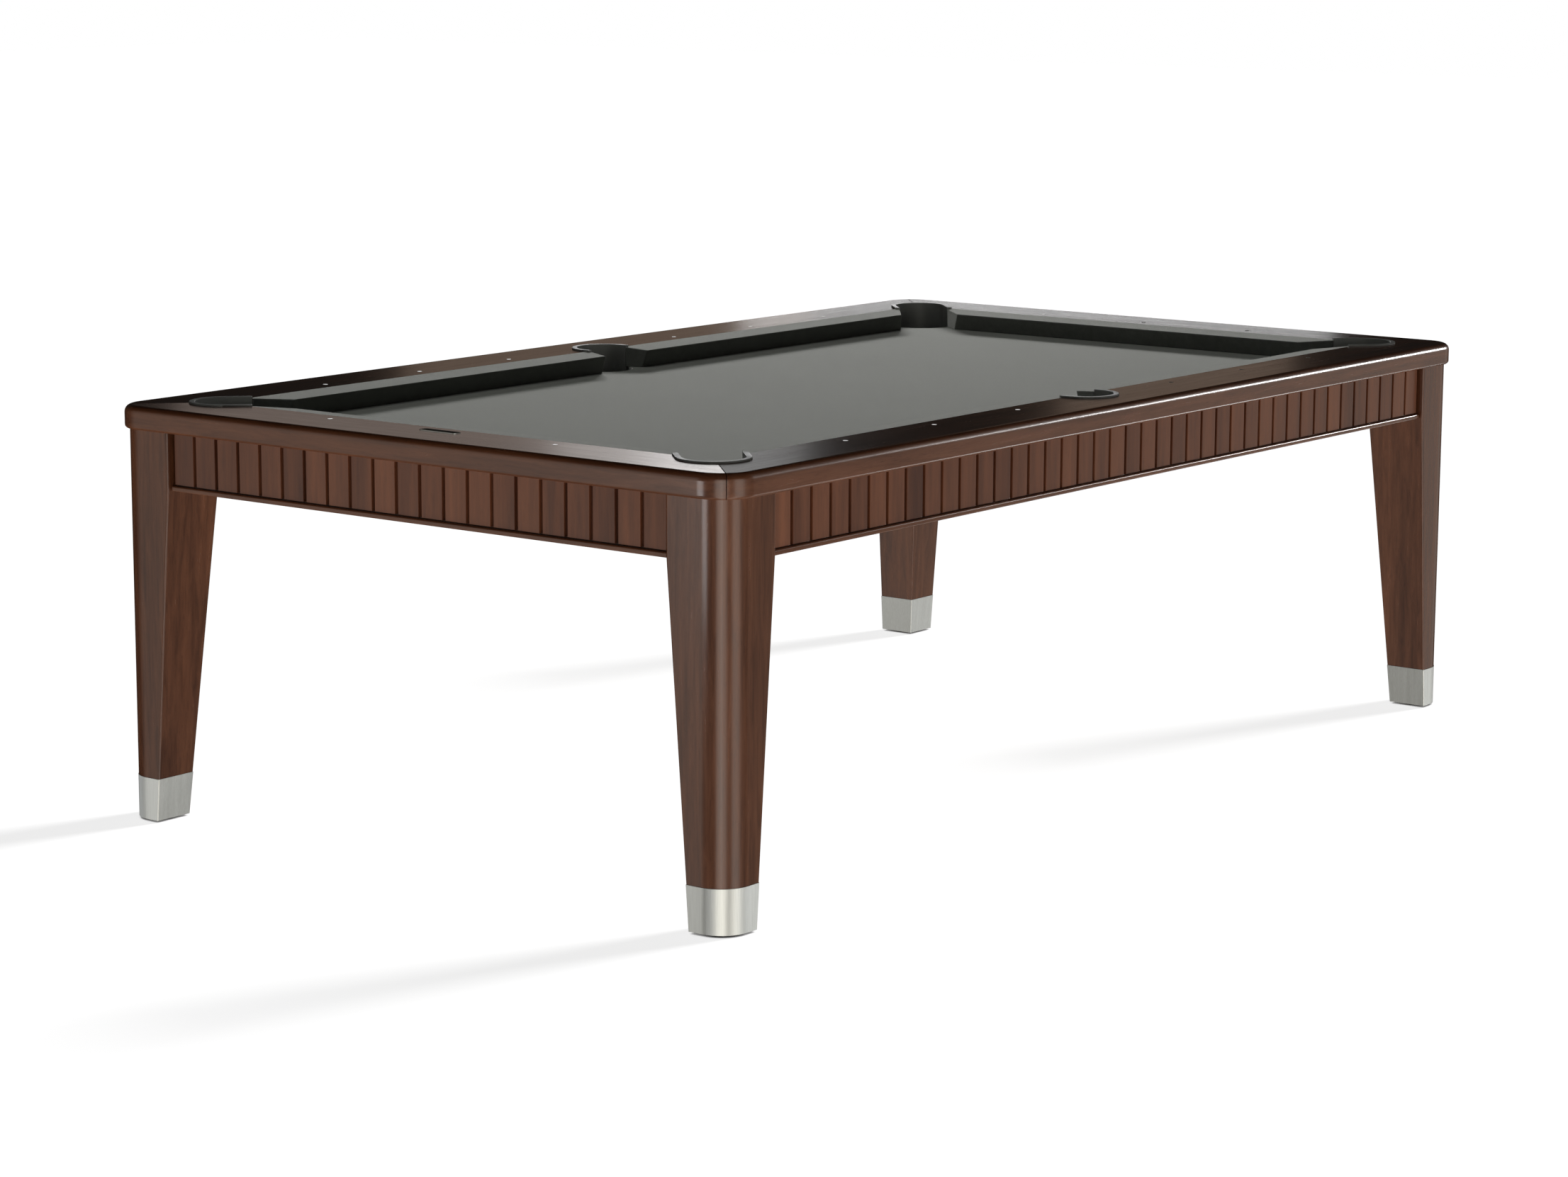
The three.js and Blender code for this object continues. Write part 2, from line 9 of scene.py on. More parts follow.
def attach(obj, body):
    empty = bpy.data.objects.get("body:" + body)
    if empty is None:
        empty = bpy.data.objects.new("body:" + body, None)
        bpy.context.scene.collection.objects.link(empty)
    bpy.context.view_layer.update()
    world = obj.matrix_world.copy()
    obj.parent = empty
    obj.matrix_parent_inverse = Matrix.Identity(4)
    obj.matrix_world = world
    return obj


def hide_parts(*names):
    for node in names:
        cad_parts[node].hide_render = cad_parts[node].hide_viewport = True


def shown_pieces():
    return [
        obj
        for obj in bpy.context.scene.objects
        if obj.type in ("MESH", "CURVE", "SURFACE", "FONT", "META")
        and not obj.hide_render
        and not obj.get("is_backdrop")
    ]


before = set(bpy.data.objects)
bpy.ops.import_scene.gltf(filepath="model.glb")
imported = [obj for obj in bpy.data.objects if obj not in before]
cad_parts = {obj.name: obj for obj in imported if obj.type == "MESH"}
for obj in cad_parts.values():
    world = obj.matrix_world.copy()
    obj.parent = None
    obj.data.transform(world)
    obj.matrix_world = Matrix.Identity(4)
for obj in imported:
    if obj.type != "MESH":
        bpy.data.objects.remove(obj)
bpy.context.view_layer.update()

# An eight-foot pool table. Metres, +Z up; X runs along the table and Y across it.
# Front is the -Y side and left is the -X end.
table = {
    "halfPlayX": 1.1176,
    "halfPlayY": 0.5588,
    "halfRailX": 1.323,
    "halfRailY": 0.7642,
    "halfLegX": 1.312,
    "halfLegY": 0.7532,
    "bedTop": 0.779,
    "slateBorder": 0.105,
    "cushionWidth": 0.059,
    "gap": 0.0003,
    "under": 0.7,
    "over": 0.8,
}
quarterTurn = math.pi / 2

corners = [
    {"name": "back_right", "turn": 0, "signX": 1, "signY": 1},
    {"name": "back_left", "turn": quarterTurn, "signX": -1, "signY": 1},
    {"name": "front_left", "turn": 2 * quarterTurn, "signX": -1, "signY": -1},
    {"name": "front_right", "turn": 3 * quarterTurn, "signX": 1, "signY": -1},
]
# The four sides, and how each is turned from the back one
sides = [
    {"name": "back", "turn": 0, "long": True},
    {"name": "left", "turn": quarterTurn, "long": False},
    {"name": "front", "turn": 2 * quarterTurn, "long": True},
    {"name": "right", "turn": 3 * quarterTurn, "long": False},
]


def vertsOf(geometry):
    return [g for g in geometry if isinstance(g, bmesh.types.BMVert)]


def edgesOf(geometry):
    return [g for g in geometry if isinstance(g, bmesh.types.BMEdge)]


def block(bm, low, high):
    low, high = Vector(low), Vector(high)
    verts = bmesh.ops.create_cube(bm, size=1)["verts"]
    bmesh.ops.scale(bm, vec=high - low, verts=verts)
    bmesh.ops.translate(bm, vec=(low + high) / 2, verts=verts)


def soften(bm, edges, radius, segments):
    bmesh.ops.bevel(
        bm, geom=edges, offset=radius, offset_type="OFFSET", affect="EDGES",
        segments=segments, profile=0.5, material=-1, clamp_overlap=True,
    )


def upright(edge):
    way = edge.verts[0].co - edge.verts[1].co
    return abs(way.z) > 0.6 * way.length


def level(edge, z):
    return all(abs(v.co.z - z) < 1e-5 for v in edge.verts)


def rimEdges(bm, z):
    # the outline of every level face at that height
    return [
        e for e in bm.edges
        if level(e, z) and sum(abs(f.normal.z) > 0.9 for f in e.link_faces) == 1
    ]


def trim(bm, point, outward):
    # cuts away everything on the outward side of a plane and closes the cut
    geometry = bm.verts[:] + bm.edges[:] + bm.faces[:]
    cut = bmesh.ops.bisect_plane(
        bm, geom=geometry, dist=1e-7, plane_co=point, plane_no=outward, clear_outer=True,
    )
    bmesh.ops.edgeloop_fill(bm, edges=edgesOf(cut["geom_cut"]))


def placeAt(bm, turn=0, x=0, y=0, z=0, verts=None):
    move = Matrix.Translation((x, y, z)) @ Matrix.Rotation(turn, 4, "Z")
    bmesh.ops.transform(bm, matrix=move, verts=verts or bm.verts[:])


def spun(bm, profile, steps):
    # a closed round shape from (radius, height) points that start and end on the axis
    points = [bm.verts.new((r, 0, z)) for r, z in profile]
    edges = [bm.edges.new(pair) for pair in zip(points, points[1:])]
    bmesh.ops.spin(
        bm, geom=points + edges, cent=(0, 0, 0), axis=(0, 0, 1), angle=2 * math.pi,
        steps=steps, use_merge=True, use_duplicate=False,
    )
    bmesh.ops.remove_doubles(bm, verts=bm.verts[:], dist=1e-6)
    bmesh.ops.recalc_face_normals(bm, faces=bm.faces[:])


def toObject(name, bm):
    mesh = bpy.data.meshes.new(name)
    bm.to_mesh(mesh)
    bm.free()
    made = bpy.data.objects.new(name, mesh)
    bpy.context.scene.collection.objects.link(made)
    return made


def cutAway(piece, *cutters):
    for cutter in cutters:
        cut = piece.modifiers.new("cut", "BOOLEAN")
        cut.operation = "DIFFERENCE"
        cut.solver = "EXACT"
        cut.object = cutter
    bpy.context.view_layer.update()
    shape = piece.evaluated_get(bpy.context.evaluated_depsgraph_get())
    piece.modifiers.clear()
    piece.data = bpy.data.meshes.new_from_object(shape)
    for cutter in cutters:
        bpy.data.objects.remove(cutter)


def blockCutter(low, high, turn=0, x=0, y=0):
    bm = bmesh.new()
    block(bm, low, high)
    placeAt(bm, turn, x, y)
    return toObject("cutter", bm)


def discCutter(radius, low, high, x, y, segments=64):
    bm = bmesh.new()
    bmesh.ops.create_cone(
        bm, cap_ends=True, segments=segments, radius1=radius, radius2=radius, depth=high - low,
    )
    placeAt(bm, 0, x, y, (low + high) / 2)
    return toObject("cutter", bm)


def evenShading(piece):
    evened = piece.modifiers.new("evenShading", "WEIGHTED_NORMAL")
    evened.keep_sharp = True


def finishPiece(piece, materials, stands=(), body="table", crease=32, weighted=True):
    mesh = piece.data
    mesh.materials.clear()
    for material in materials:
        mesh.materials.append(material)
    mesh.shade_smooth()
    mesh.set_sharp_from_angle(angle=math.radians(crease))
    if weighted:
        evenShading(piece)
    if stands:
        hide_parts(*stands)
    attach(piece, body)


def node(tree, kind, inputs=None, **settings):
    made = tree.nodes.new("ShaderNode" + kind)
    for key, value in settings.items():
        setattr(made, key, value)
    for key, value in (inputs or {}).items():
        if isinstance(value, bpy.types.NodeSocket):
            tree.links.new(value, made.inputs[key])
        else:
            made.inputs[key].default_value = value
    return made


def noise(tree, vector, scale, detail=3, roughness=0.5, distortion=0):
    made = node(tree, "TexNoise", {
        "Vector": vector, "Scale": scale, "Detail": detail,
        "Roughness": roughness, "Distortion": distortion,
    })
    return made.outputs[0]


def remap(tree, value, low, high, toLow=0.0, toHigh=1.0):
    made = node(tree, "MapRange", {
        "Value": value, "From Min": low, "From Max": high, "To Min": toLow, "To Max": toHigh,
    })
    return made.outputs[0]


def combine(tree, operation, a, b):
    return node(tree, "Math", {0: a, 1: b}, operation=operation).outputs[0]


def blendColour(tree, share, a, b, how="MIX"):
    made = node(tree, "Mix", {0: share, 6: a, 7: b}, data_type="RGBA", blend_type=how)
    return made.outputs[2]


def effectGroup(name, values):
    # every effect takes a place, its two end colours and its own values, and gives a colour,
    # a gloss from 0 to 1 and a height
    group = bpy.data.node_groups.new(name, "ShaderNodeTree")
    colour, value = "NodeSocketColor", "NodeSocketFloat"
    for label, kind in (("Vector", "NodeSocketVector"), ("Deep", colour), ("Light", colour)):
        group.interface.new_socket(label, in_out="INPUT", socket_type=kind)
    for label, start in values.items():
        socket = group.interface.new_socket(label, in_out="INPUT", socket_type=value)
        socket.default_value = start
    for label, kind in (("Colour", colour), ("Gloss", value), ("Height", value)):
        group.interface.new_socket(label, in_out="OUTPUT", socket_type=kind)
    enter = group.nodes.new("NodeGroupInput").outputs
    leave = group.nodes.new("NodeGroupOutput").inputs
    return group, enter, leave


def useGroup(tree, group, inputs):
    made = tree.nodes.new("ShaderNodeGroup")
    made.node_tree = group
    for key, value in inputs.items():
        if isinstance(value, bpy.types.NodeSocket):
            tree.links.new(value, made.inputs[key])
        else:
            made.inputs[key].default_value = value
    return made.outputs


def newMaterial(name, stretch=(1, 1, 1), **shaderValues):
    material = bpy.data.materials.new(name)
    material.use_nodes = True
    tree = material.node_tree
    shader = tree.nodes["Principled BSDF"]
    for label, value in shaderValues.items():
        shader.inputs[label].default_value = value
    place = node(tree, "TexCoord").outputs["Object"]
    mapped = node(tree, "Mapping", {"Vector": place, "Scale": stretch}).outputs[0]
    return material, tree, shader, mapped


def addBump(tree, shader, height, strength, distance):
    bump = node(tree, "Bump", {"Height": height, "Strength": strength, "Distance": distance})
    tree.links.new(bump.outputs[0], shader.inputs["Normal"])


def rgb(r, g, b):
    # a colour given as 0 to 255 on a screen
    line = [(c / 255) / 12.92 if c <= 10 else ((c / 255 + 0.055) / 1.055) ** 2.4 for c in (r, g, b)]
    return (*line, 1)


def ended(group, enter, leave, tone, gloss, height):
    # the tone blends the end colours
    group.links.new(blendColour(group, tone, enter["Deep"], enter["Light"]), leave["Colour"])
    group.links.new(remap(group, gloss, 0.3, 0.7), leave["Gloss"])
    group.links.new(height, leave["Height"])
    return group


def added(group, first, firstShare, second, secondShare):
    # two noises, each spread over its own share of the tone
    a = remap(group, first, 0.3, 0.7, 0, firstShare)
    return combine(group, "ADD", a, remap(group, second, 0.3, 0.7, 0, secondShare))


def makeGrainGroup():
    values = {"Streaks": 70.0, "Pores": 620.0, "Shift": 0.0}
    group, enter, leave = effectGroup("stainedGrain", values)
    cloud = noise(group, enter["Vector"], 9, 3, 0.55, 0.6)
    streaks = noise(group, enter["Vector"], enter["Streaks"], 6, 0.62, 0.5)
    pores = noise(group, enter["Vector"], enter["Pores"], 2, 0.6, 0)
    fleck = remap(group, pores, 0.56, 0.70)
    clouding = remap(group, cloud, 0.3, 0.7, 0.0, 0.5)
    streaking = remap(group, streaks, 0.34, 0.66, 0.05, 0.4)
    tone = combine(group, "ADD", clouding, streaking)
    shifted = combine(group, "ADD", tone, enter["Shift"])
    held = node(group, "Clamp", {0: shifted}).outputs[0]
    stained = blendColour(group, held, enter["Deep"], enter["Light"])
    darker = node(group, "HueSaturation", {"Color": stained, "Value": 0.62}).outputs[0]
    share = combine(group, "MULTIPLY", fleck, 0.5)
    coloured = blendColour(group, share, stained, darker)
    group.links.new(coloured, leave["Colour"])
    group.links.new(remap(group, streaks, 0.3, 0.7), leave["Gloss"])
    raised = combine(group, "MULTIPLY", streaks, 0.4)
    sunk = combine(group, "MULTIPLY", fleck, 0.35)
    group.links.new(combine(group, "SUBTRACT", raised, sunk), leave["Height"])
    return group


def makeNapGroup():
    group, enter, leave = effectGroup("woolNap", {"Nap": 900.0})
    fibre = noise(group, enter["Vector"], enter["Nap"], 4, 0.7, 0.8)
    mottle = noise(group, enter["Vector"], 60, 5, 0.65, 0.3)
    drift = noise(group, enter["Vector"], 3, 2, 0.5, 0)
    fine = remap(group, fibre, 0.25, 0.75, 0, 0.45)
    tone = combine(group, "ADD", fine, remap(group, mottle, 0.3, 0.7, 0, 0.4))
    tone = combine(group, "ADD", tone, remap(group, drift, 0.3, 0.7, 0, 0.15))
    height = combine(group, "ADD", fibre, combine(group, "MULTIPLY", mottle, 0.6))
    return ended(group, enter, leave, tone, mottle, height)


def makeBrushedGroup():
    group, enter, leave = effectGroup("brushedLines", {"Lines": 1400.0})
    lines = noise(group, enter["Vector"], enter["Lines"], 4, 0.65, 0)
    wide = noise(group, enter["Vector"], 90, 3, 0.5, 0)
    return ended(group, enter, leave, added(group, lines, 0.6, wide, 0.4), wide, lines)


def makeSpeckleGroup():
    group, enter, leave = effectGroup("fineSpeckle", {"Specks": 400.0})
    specks = noise(group, enter["Vector"], enter["Specks"], 3, 0.6, 0)
    cloud = noise(group, enter["Vector"], 22, 4, 0.6, 0.4)
    return ended(group, enter, leave, added(group, specks, 0.5, cloud, 0.5), cloud, specks)


effects = {
    "grain": makeGrainGroup(),
    "nap": makeNapGroup(),
    "brushed": makeBrushedGroup(),
    "speckle": makeSpeckleGroup(),
}


def surface(name, effect, stretch, values, gloss, bump, **shaderValues):
    # gloss is the roughness at the effect's two ends, bump its strength and depth
    material, tree, shader, mapped = newMaterial(name, stretch, **shaderValues)
    out = useGroup(tree, effects[effect], {"Vector": mapped, **values})
    tree.links.new(out["Colour"], shader.inputs["Base Color"])
    tree.links.new(remap(tree, out["Gloss"], 0, 1, *gloss), shader.inputs["Roughness"])
    addBump(tree, shader, out["Height"], *bump)
    return material


print("stage: materials")
finishes = {
    "grainAlong": 0.07,  # how much the grain is drawn out along the wood
    "woodDeep": rgb(54, 28, 18),
    "woodLight": rgb(124, 75, 47),
    "slatDeep": rgb(70, 37, 23),
    "slatLight": rgb(132, 79, 50),
    "slatShift": 0.14,  # how far a slat's tone may be from the middle
    "clothDeep": rgb(66, 68, 64),
    "clothLight": rgb(92, 95, 89),
}


def woodMaterial(name, axis, streaks=70.0):
    stretch = [1.0, 1.0, 1.0]
    stretch[axis] = finishes["grainAlong"]
    values = {"Deep": finishes["woodDeep"], "Light": finishes["woodLight"], "Streaks": streaks}
    return surface(
        name, "grain", stretch, values, (0.2, 0.28), (0.12, 0.0006),
        **{"Coat Weight": 0.35, "Coat Roughness": 0.16, "Specular IOR Level": 0.45},
    )


railWoodLong = woodMaterial("espressoRailLong", 0)
railWoodShort = woodMaterial("espressoRailShort", 1)
legWood = woodMaterial("espressoLeg", 2, 90.0)
ledgeWoodLong = woodMaterial("espressoLedgeLong", 0)
ledgeWoodShort = woodMaterial("espressoLedgeShort", 1)


def slatMaterial():
    # each slat carries its own tone, so boards differ from one another
    material, tree, shader, mapped = newMaterial(
        "espressoSlats", (1, 1, finishes["grainAlong"]),
        **{"Coat Weight": 0.25, "Coat Roughness": 0.2, "Specular IOR Level": 0.45},
    )
    tone = node(tree, "Attribute", attribute_name="slatTone").outputs["Fac"]
    shift = remap(tree, tone, 0, 1, -finishes["slatShift"], finishes["slatShift"])
    along = node(tree, "CombineXYZ", {2: combine(tree, "MULTIPLY", tone, 7)}).outputs[0]
    moved = node(tree, "VectorMath", {0: mapped, 1: along}, operation="ADD").outputs[0]
    out = useGroup(tree, effects["grain"], {
        "Vector": moved, "Deep": finishes["slatDeep"], "Light": finishes["slatLight"],
        "Streaks": 60.0, "Shift": shift,
    })
    tree.links.new(out["Colour"], shader.inputs["Base Color"])
    tree.links.new(remap(tree, out["Gloss"], 0, 1, 0.3, 0.42), shader.inputs["Roughness"])
    addBump(tree, shader, out["Height"], 0.15, 0.0006)
    return material


slatWood = slatMaterial()
# near-black wood for the backing and the slats' side faces: painted shade in the grooves between the slats
grooveShadeWood = surface(
    "paintedGrooveShade", "grain", (1, 1, 0.05),
    {"Deep": rgb(3, 2, 2), "Light": rgb(7, 5, 4)}, (0.5, 0.65), (0.1, 0.0005),
)


def sawnMaterial(name, stretch):
    values = {"Deep": rgb(150, 112, 70), "Light": rgb(196, 160, 112), "Streaks": 40.0}
    return surface(name, "grain", stretch, values, (0.7, 0.85), (0.3, 0.001))


def clothMaterial(name):
    values = {"Deep": finishes["clothDeep"], "Light": finishes["clothLight"]}
    return surface(
        name, "nap", (1, 1, 1), values, (0.85, 0.97), (0.6, 0.001),
        **{"Sheen Weight": 0.55, "Sheen Roughness": 0.45, "Sheen Tint": (1.0, 1.0, 0.94, 1)},
        **{"Specular IOR Level": 0.1},
    )


frameWood = sawnMaterial("sawnSoftwood", (0.06, 1, 1))
frameWoodAcross = sawnMaterial("sawnSoftwoodAcross", (1, 0.06, 1))
bedWool = clothMaterial("charcoalBedWool")
cushionWool = clothMaterial("charcoalCushionWool")
steelValues = {"Deep": rgb(180, 182, 179), "Light": rgb(214, 217, 215)}
capSteel = surface(
    "brushedCapSteel", "brushed", (1, 1, 0.012), steelValues, (0.36, 0.46), (0.08, 0.0002),
    **{"Metallic": 1.0},
)
plateSteel = surface(
    "brushedPlate", "brushed", (1, 0.012, 1), steelValues, (0.26, 0.38), (0.1, 0.0002),
    **{"Metallic": 1.0},
)
footBlack = surface(
    "blackFoot", "speckle", (1, 1, 1), {"Deep": rgb(16, 16, 17), "Light": rgb(34, 34, 35)},
    (0.45, 0.6), (0.1, 0.0003), **{"Specular IOR Level": 0.4},
)
stemSteel = surface(
    "zincStem", "brushed", (0.05, 0.05, 1), steelValues, (0.35, 0.5), (0.1, 0.0002),
    **{"Metallic": 1.0},
)
slateStone = surface(
    "honedSlate", "speckle", (1, 1, 2),
    {"Deep": rgb(66, 70, 74), "Light": rgb(96, 100, 103), "Specks": 260.0},
    (0.6, 0.8), (0.25, 0.0006),
)
rimGrey = surface(
    "greyPocketRim", "speckle", (1, 1, 1),
    {"Deep": rgb(128, 130, 127), "Light": rgb(150, 152, 148), "Specks": 900.0},
    (0.42, 0.55), (0.12, 0.0002),
)
# a black pocket wall, darkened almost to nothing and without gloss as painted shade inside the pocket
linerWallShade = surface(
    "blackWallPaintedShade", "speckle", (1, 1, 1),
    {"Deep": rgb(2, 2, 2), "Light": rgb(5, 5, 5), "Specks": 700.0},
    (0.5, 0.65), (0.15, 0.0003), **{"Specular IOR Level": 0.0},
)
bucketBlack = surface(
    "blackBucket", "speckle", (1, 1, 1),
    {"Deep": rgb(9, 9, 9), "Light": rgb(20, 20, 19), "Specks": 240.0},
    (0.5, 0.7), (0.4, 0.0008),
)
pearl = surface(
    "pearlSight", "speckle", (1, 1, 1),
    {"Deep": rgb(196, 190, 178), "Light": rgb(232, 228, 218), "Specks": 900.0},
    (0.15, 0.3), (0.05, 0.0002), **{"Coat Weight": 0.5},
)


view = {"place": (-6.4618, -4.8062, 1.7919), "azimuth": 37.3546, "elevation": -10.0872,
        "roll": 0.2423, "lens": 89.106}


def makeCamera():
    data = bpy.data.cameras.new("camera")
    data.lens = view["lens"]
    data.sensor_width = 36
    data.clip_end = 200
    camera = bpy.data.objects.new("camera", data)
    bpy.context.scene.collection.objects.link(camera)
    turn = Euler((
        quarterTurn + math.radians(view["elevation"]), 0,
        math.radians(view["azimuth"]) - quarterTurn,
    )).to_matrix().to_4x4()
    roll = Matrix.Rotation(math.radians(view["roll"]), 4, "Z")
    camera.matrix_world = Matrix.Translation(view["place"]) @ turn @ roll
    bpy.context.scene.camera = camera


makeCamera()


pocket = {
    "throat": 0.0575, "wallOuter": 0.0615, "rimOuter": 0.0685,
    "rimLow": 0.8223, "rimTop": 0.8255, "low": 0.7536, "rimSoft": 0.0011,
    "cornerShift": 0.04837, "sideShift": 0.066, "cornerArm": 0.05346, "sideArm": 0.015,
    "cornerSlateCut": 0.0825, "sideSlateCut": 0.0643,
    "bucketShift": 0.04094, "cornerBucket": 0.075, "sideBucket": 0.0683,
    "bucketLow": 0.6683, "bucketTop": 0.7523, "bucketWall": 0.003, "bucketGap": 0.004,
    "roomGap": 0.001, "roomTop": 0.84, "steps": 32,
}
pockets = [{
    "name": c["name"], "corner": True, "turn": c["turn"] - math.pi / 4,
    "x": c["signX"] * (table["halfPlayX"] + pocket["cornerShift"]),
    "y": c["signY"] * (table["halfPlayY"] + pocket["cornerShift"]),
    "bucketX": c["signX"] * (table["halfPlayX"] + pocket["bucketShift"]),
    "bucketY": c["signY"] * (table["halfPlayY"] + pocket["bucketShift"]),
} for c in corners]
for name, sign, turn in [("back_middle", 1, 0), ("front_middle", -1, math.pi)]:
    y = sign * (table["halfPlayY"] + pocket["sideShift"])
    place = {"x": 0, "y": y, "bucketX": 0, "bucketY": y}
    pockets.append({"name": name, "corner": False, "turn": turn, **place})


def linerRoom(spot):
    # the room for a liner: a straight slot with a round end
    radius = pocket["wallOuter"] + pocket["roomGap"]
    arm = table["cushionWidth"] + (pocket["cornerArm"] if spot["corner"] else pocket["sideArm"])
    bm = bmesh.new()
    block(bm, (-radius, -arm, pocket["low"]), (radius, radius, pocket["roomTop"]))
    ends = [e for e in bm.edges if upright(e) and e.verts[0].co.y > 0]
    soften(bm, ends, radius * 0.9995, pocket["steps"] // 2)
    bmesh.ops.remove_doubles(bm, verts=bm.verts[:], dist=1e-5)
    placeAt(bm, spot["turn"], spot["x"], spot["y"])
    return toObject("cutter", bm)


def linerPiece(spot):
    arm = pocket["cornerArm"] if spot["corner"] else pocket["sideArm"]
    section = [
        (pocket["throat"], pocket["low"]), (pocket["wallOuter"], pocket["low"]),
        (pocket["wallOuter"], pocket["rimLow"]), (pocket["rimOuter"], pocket["rimLow"]),
        (pocket["rimOuter"], pocket["rimTop"]), (pocket["throat"], pocket["rimTop"]),
        (pocket["throat"], pocket["rimLow"]),
    ]
    bm = bmesh.new()
    face = bm.faces.new([bm.verts.new((x, -arm, z)) for x, z in section])
    made = bmesh.ops.extrude_face_region(bm, geom=[face])["geom"]
    bmesh.ops.translate(bm, vec=(0, arm, 0), verts=vertsOf(made))
    turned = bmesh.ops.spin(
        bm, geom=made, cent=(0, 0, 0), axis=(0, 0, 1), angle=math.pi,
        steps=pocket["steps"], use_duplicate=False,
    )["geom_last"]
    last = [g for g in turned if isinstance(g, bmesh.types.BMFace)]
    made = bmesh.ops.extrude_face_region(bm, geom=last)["geom"]
    bmesh.ops.translate(bm, vec=(0, -arm, 0), verts=vertsOf(made))
    bmesh.ops.remove_doubles(bm, verts=bm.verts[:], dist=1e-6)
    bmesh.ops.recalc_face_normals(bm, faces=bm.faces[:])
    soften(bm, rimEdges(bm, pocket["rimTop"]), pocket["rimSoft"], 3)
    # the rim is grey; the wall below it takes the black material, darkened as painted shade
    for f in bm.faces:
        f.material_index = 0 if f.calc_center_median().z > pocket["rimLow"] - 1e-5 else 1
    placeAt(bm, spot["turn"], spot["x"], spot["y"])
    name = "pocket_liner_" + spot["name"]
    finishPiece(toObject(name, bm), [rimGrey, linerWallShade], ["liner_" + spot["name"]])


def bucketPiece(spot):
    outer = pocket["cornerBucket"] if spot["corner"] else pocket["sideBucket"]
    wall, low, top = pocket["bucketWall"], pocket["bucketLow"], pocket["bucketTop"]
    inner = outer - wall
    bm = bmesh.new()
    spun(bm, [
        (0, low), (outer - 0.024, low), (outer - 0.012, low + 0.0025), (outer - 0.004, low + 0.010),
        (outer - 0.0012, low + 0.022), (outer - 0.0006, top - 0.008), (outer, top - 0.006),
        (outer, top - 0.001), (outer - 0.001, top), (inner - 0.001, top), (inner - 0.002, top - 0.001),
        (inner - 0.002, low + 0.024), (inner - 0.005, low + 0.013), (inner - 0.013, low + 0.006),
        (inner - 0.024, low + wall), (0, low + wall),
    ], 48)
    placeAt(bm, 0, spot["bucketX"], spot["bucketY"])
    name = "pocket_bucket_" + spot["name"]
    finishPiece(toObject(name, bm), [bucketBlack], ["bucket_" + spot["name"]])


for spot in pockets:
    linerPiece(spot)
    bucketPiece(spot)
print("stage: pockets")


rail = {"top": 0.822, "low": 0.776, "cornerRadius": 0.072, "topRadius": 0.015, "lowRadius": 0.007,
        "mitreGap": 0.0007, "mitreEase": 0.0009, "rebateTop": 0.7793, "rebateOver": 0.001}


def railPiece(side):
    halfX, halfY = table["halfRailX"], table["halfRailY"]
    playX, playY = table["halfPlayX"], table["halfPlayY"]
    if not side["long"]:
        halfX, halfY, playX, playY = halfY, halfX, playY, playX
    bm = bmesh.new()
    block(bm, (-halfX, -halfY, rail["low"]), (halfX, halfY, rail["top"]))
    soften(bm, [e for e in bm.edges if upright(e)], rail["cornerRadius"], 14)
    bm.normal_update()
    soften(bm, rimEdges(bm, rail["top"]), rail["topRadius"], 8)
    bm.normal_update()
    soften(bm, rimEdges(bm, rail["low"]), rail["lowRadius"], 4)
    trim(bm, (0, playY + table["cushionWidth"], 0), (0, -1, 0))
    for sign in (1, -1):
        trim(bm, (sign * (playX - rail["mitreGap"]), playY, 0), (sign, -1, 0))
    bm.normal_update()
    slant = math.sqrt(0.5)
    mitres = [
        f for f in bm.faces
        if abs(abs(f.normal.x) - slant) < 0.01 and abs(f.normal.y + slant) < 0.01
        and abs(f.normal.z) < 0.01 and f.calc_area() > 0.003
    ]
    soften(bm, list({e for f in mitres for e in f.edges}), rail["mitreEase"], 2)
    placeAt(bm, side["turn"])
    piece = toObject("rail_cap_" + side["name"], bm)
    overX = table["halfPlayX"] + table["slateBorder"] + rail["rebateOver"]
    overY = table["halfPlayY"] + table["slateBorder"] + rail["rebateOver"]
    cutters = [blockCutter((-overX, -overY, table["under"]), (overX, overY, rail["rebateTop"]))]
    for spot in pockets:
        near = Vector((spot["x"], spot["y"])) @ Matrix.Rotation(side["turn"], 2)
        if near.y > playY and (side["long"] or spot["corner"]):
            cutters.append(linerRoom(spot))
    cutAway(piece, *cutters)
    wood = railWoodLong if side["long"] else railWoodShort
    finishPiece(piece, [wood], ["rail_" + side["name"]])


for side in sides:
    railPiece(side)
print("stage: rails")


sight = {"radius": 0.005, "setback": 0.094, "spacing": 0.2794, "low": 0.82203, "top": 0.82228}


def sightsPiece():
    along = sight["spacing"]
    outY = table["halfPlayY"] + sight["setback"]
    outX = table["halfPlayX"] + sight["setback"]
    places = [
        (sign * along * i, across * outY) for across in (1, -1) for i in (1, 2, 3) for sign in (1, -1)
    ]
    places += [(outX, along * i) for i in (-1, 0, 1)]
    places += [(-outX, along * i) for i in (-1, 1)]
    height = sight["top"] - sight["low"]
    bm = bmesh.new()
    for x, y in places:
        made = bmesh.ops.create_cone(
            bm, cap_ends=True, segments=28, radius1=sight["radius"], radius2=sight["radius"] - 0.0002,
            depth=height,
        )["verts"]
        placeAt(bm, 0, x, y, sight["low"] + height / 2, made)
    finishPiece(toObject("rail_sights", bm), [pearl])


sightsPiece()


cushion = {"width": 0.0587, "low": 0.7793, "noseLow": 0.8140, "noseTop": 0.8171, "top": 0.822,
           "undercut": 0.012, "noseSoft": 0.0014, "facingSoft": 0.0022}
cornerEnd = {"wood": (0.0389, 0.0587), "arm": (0.0311, 0.0512), "tip": (0.0951, 0)}
sideEnd = {"arm": (0.0575, 0.050), "tip": (0.071, 0), "notchFrom": 0.02, "notchAlong": 0.0695,
           "notchOut": 0.050, "notchOver": 0.08, "notchTop": 0.9}


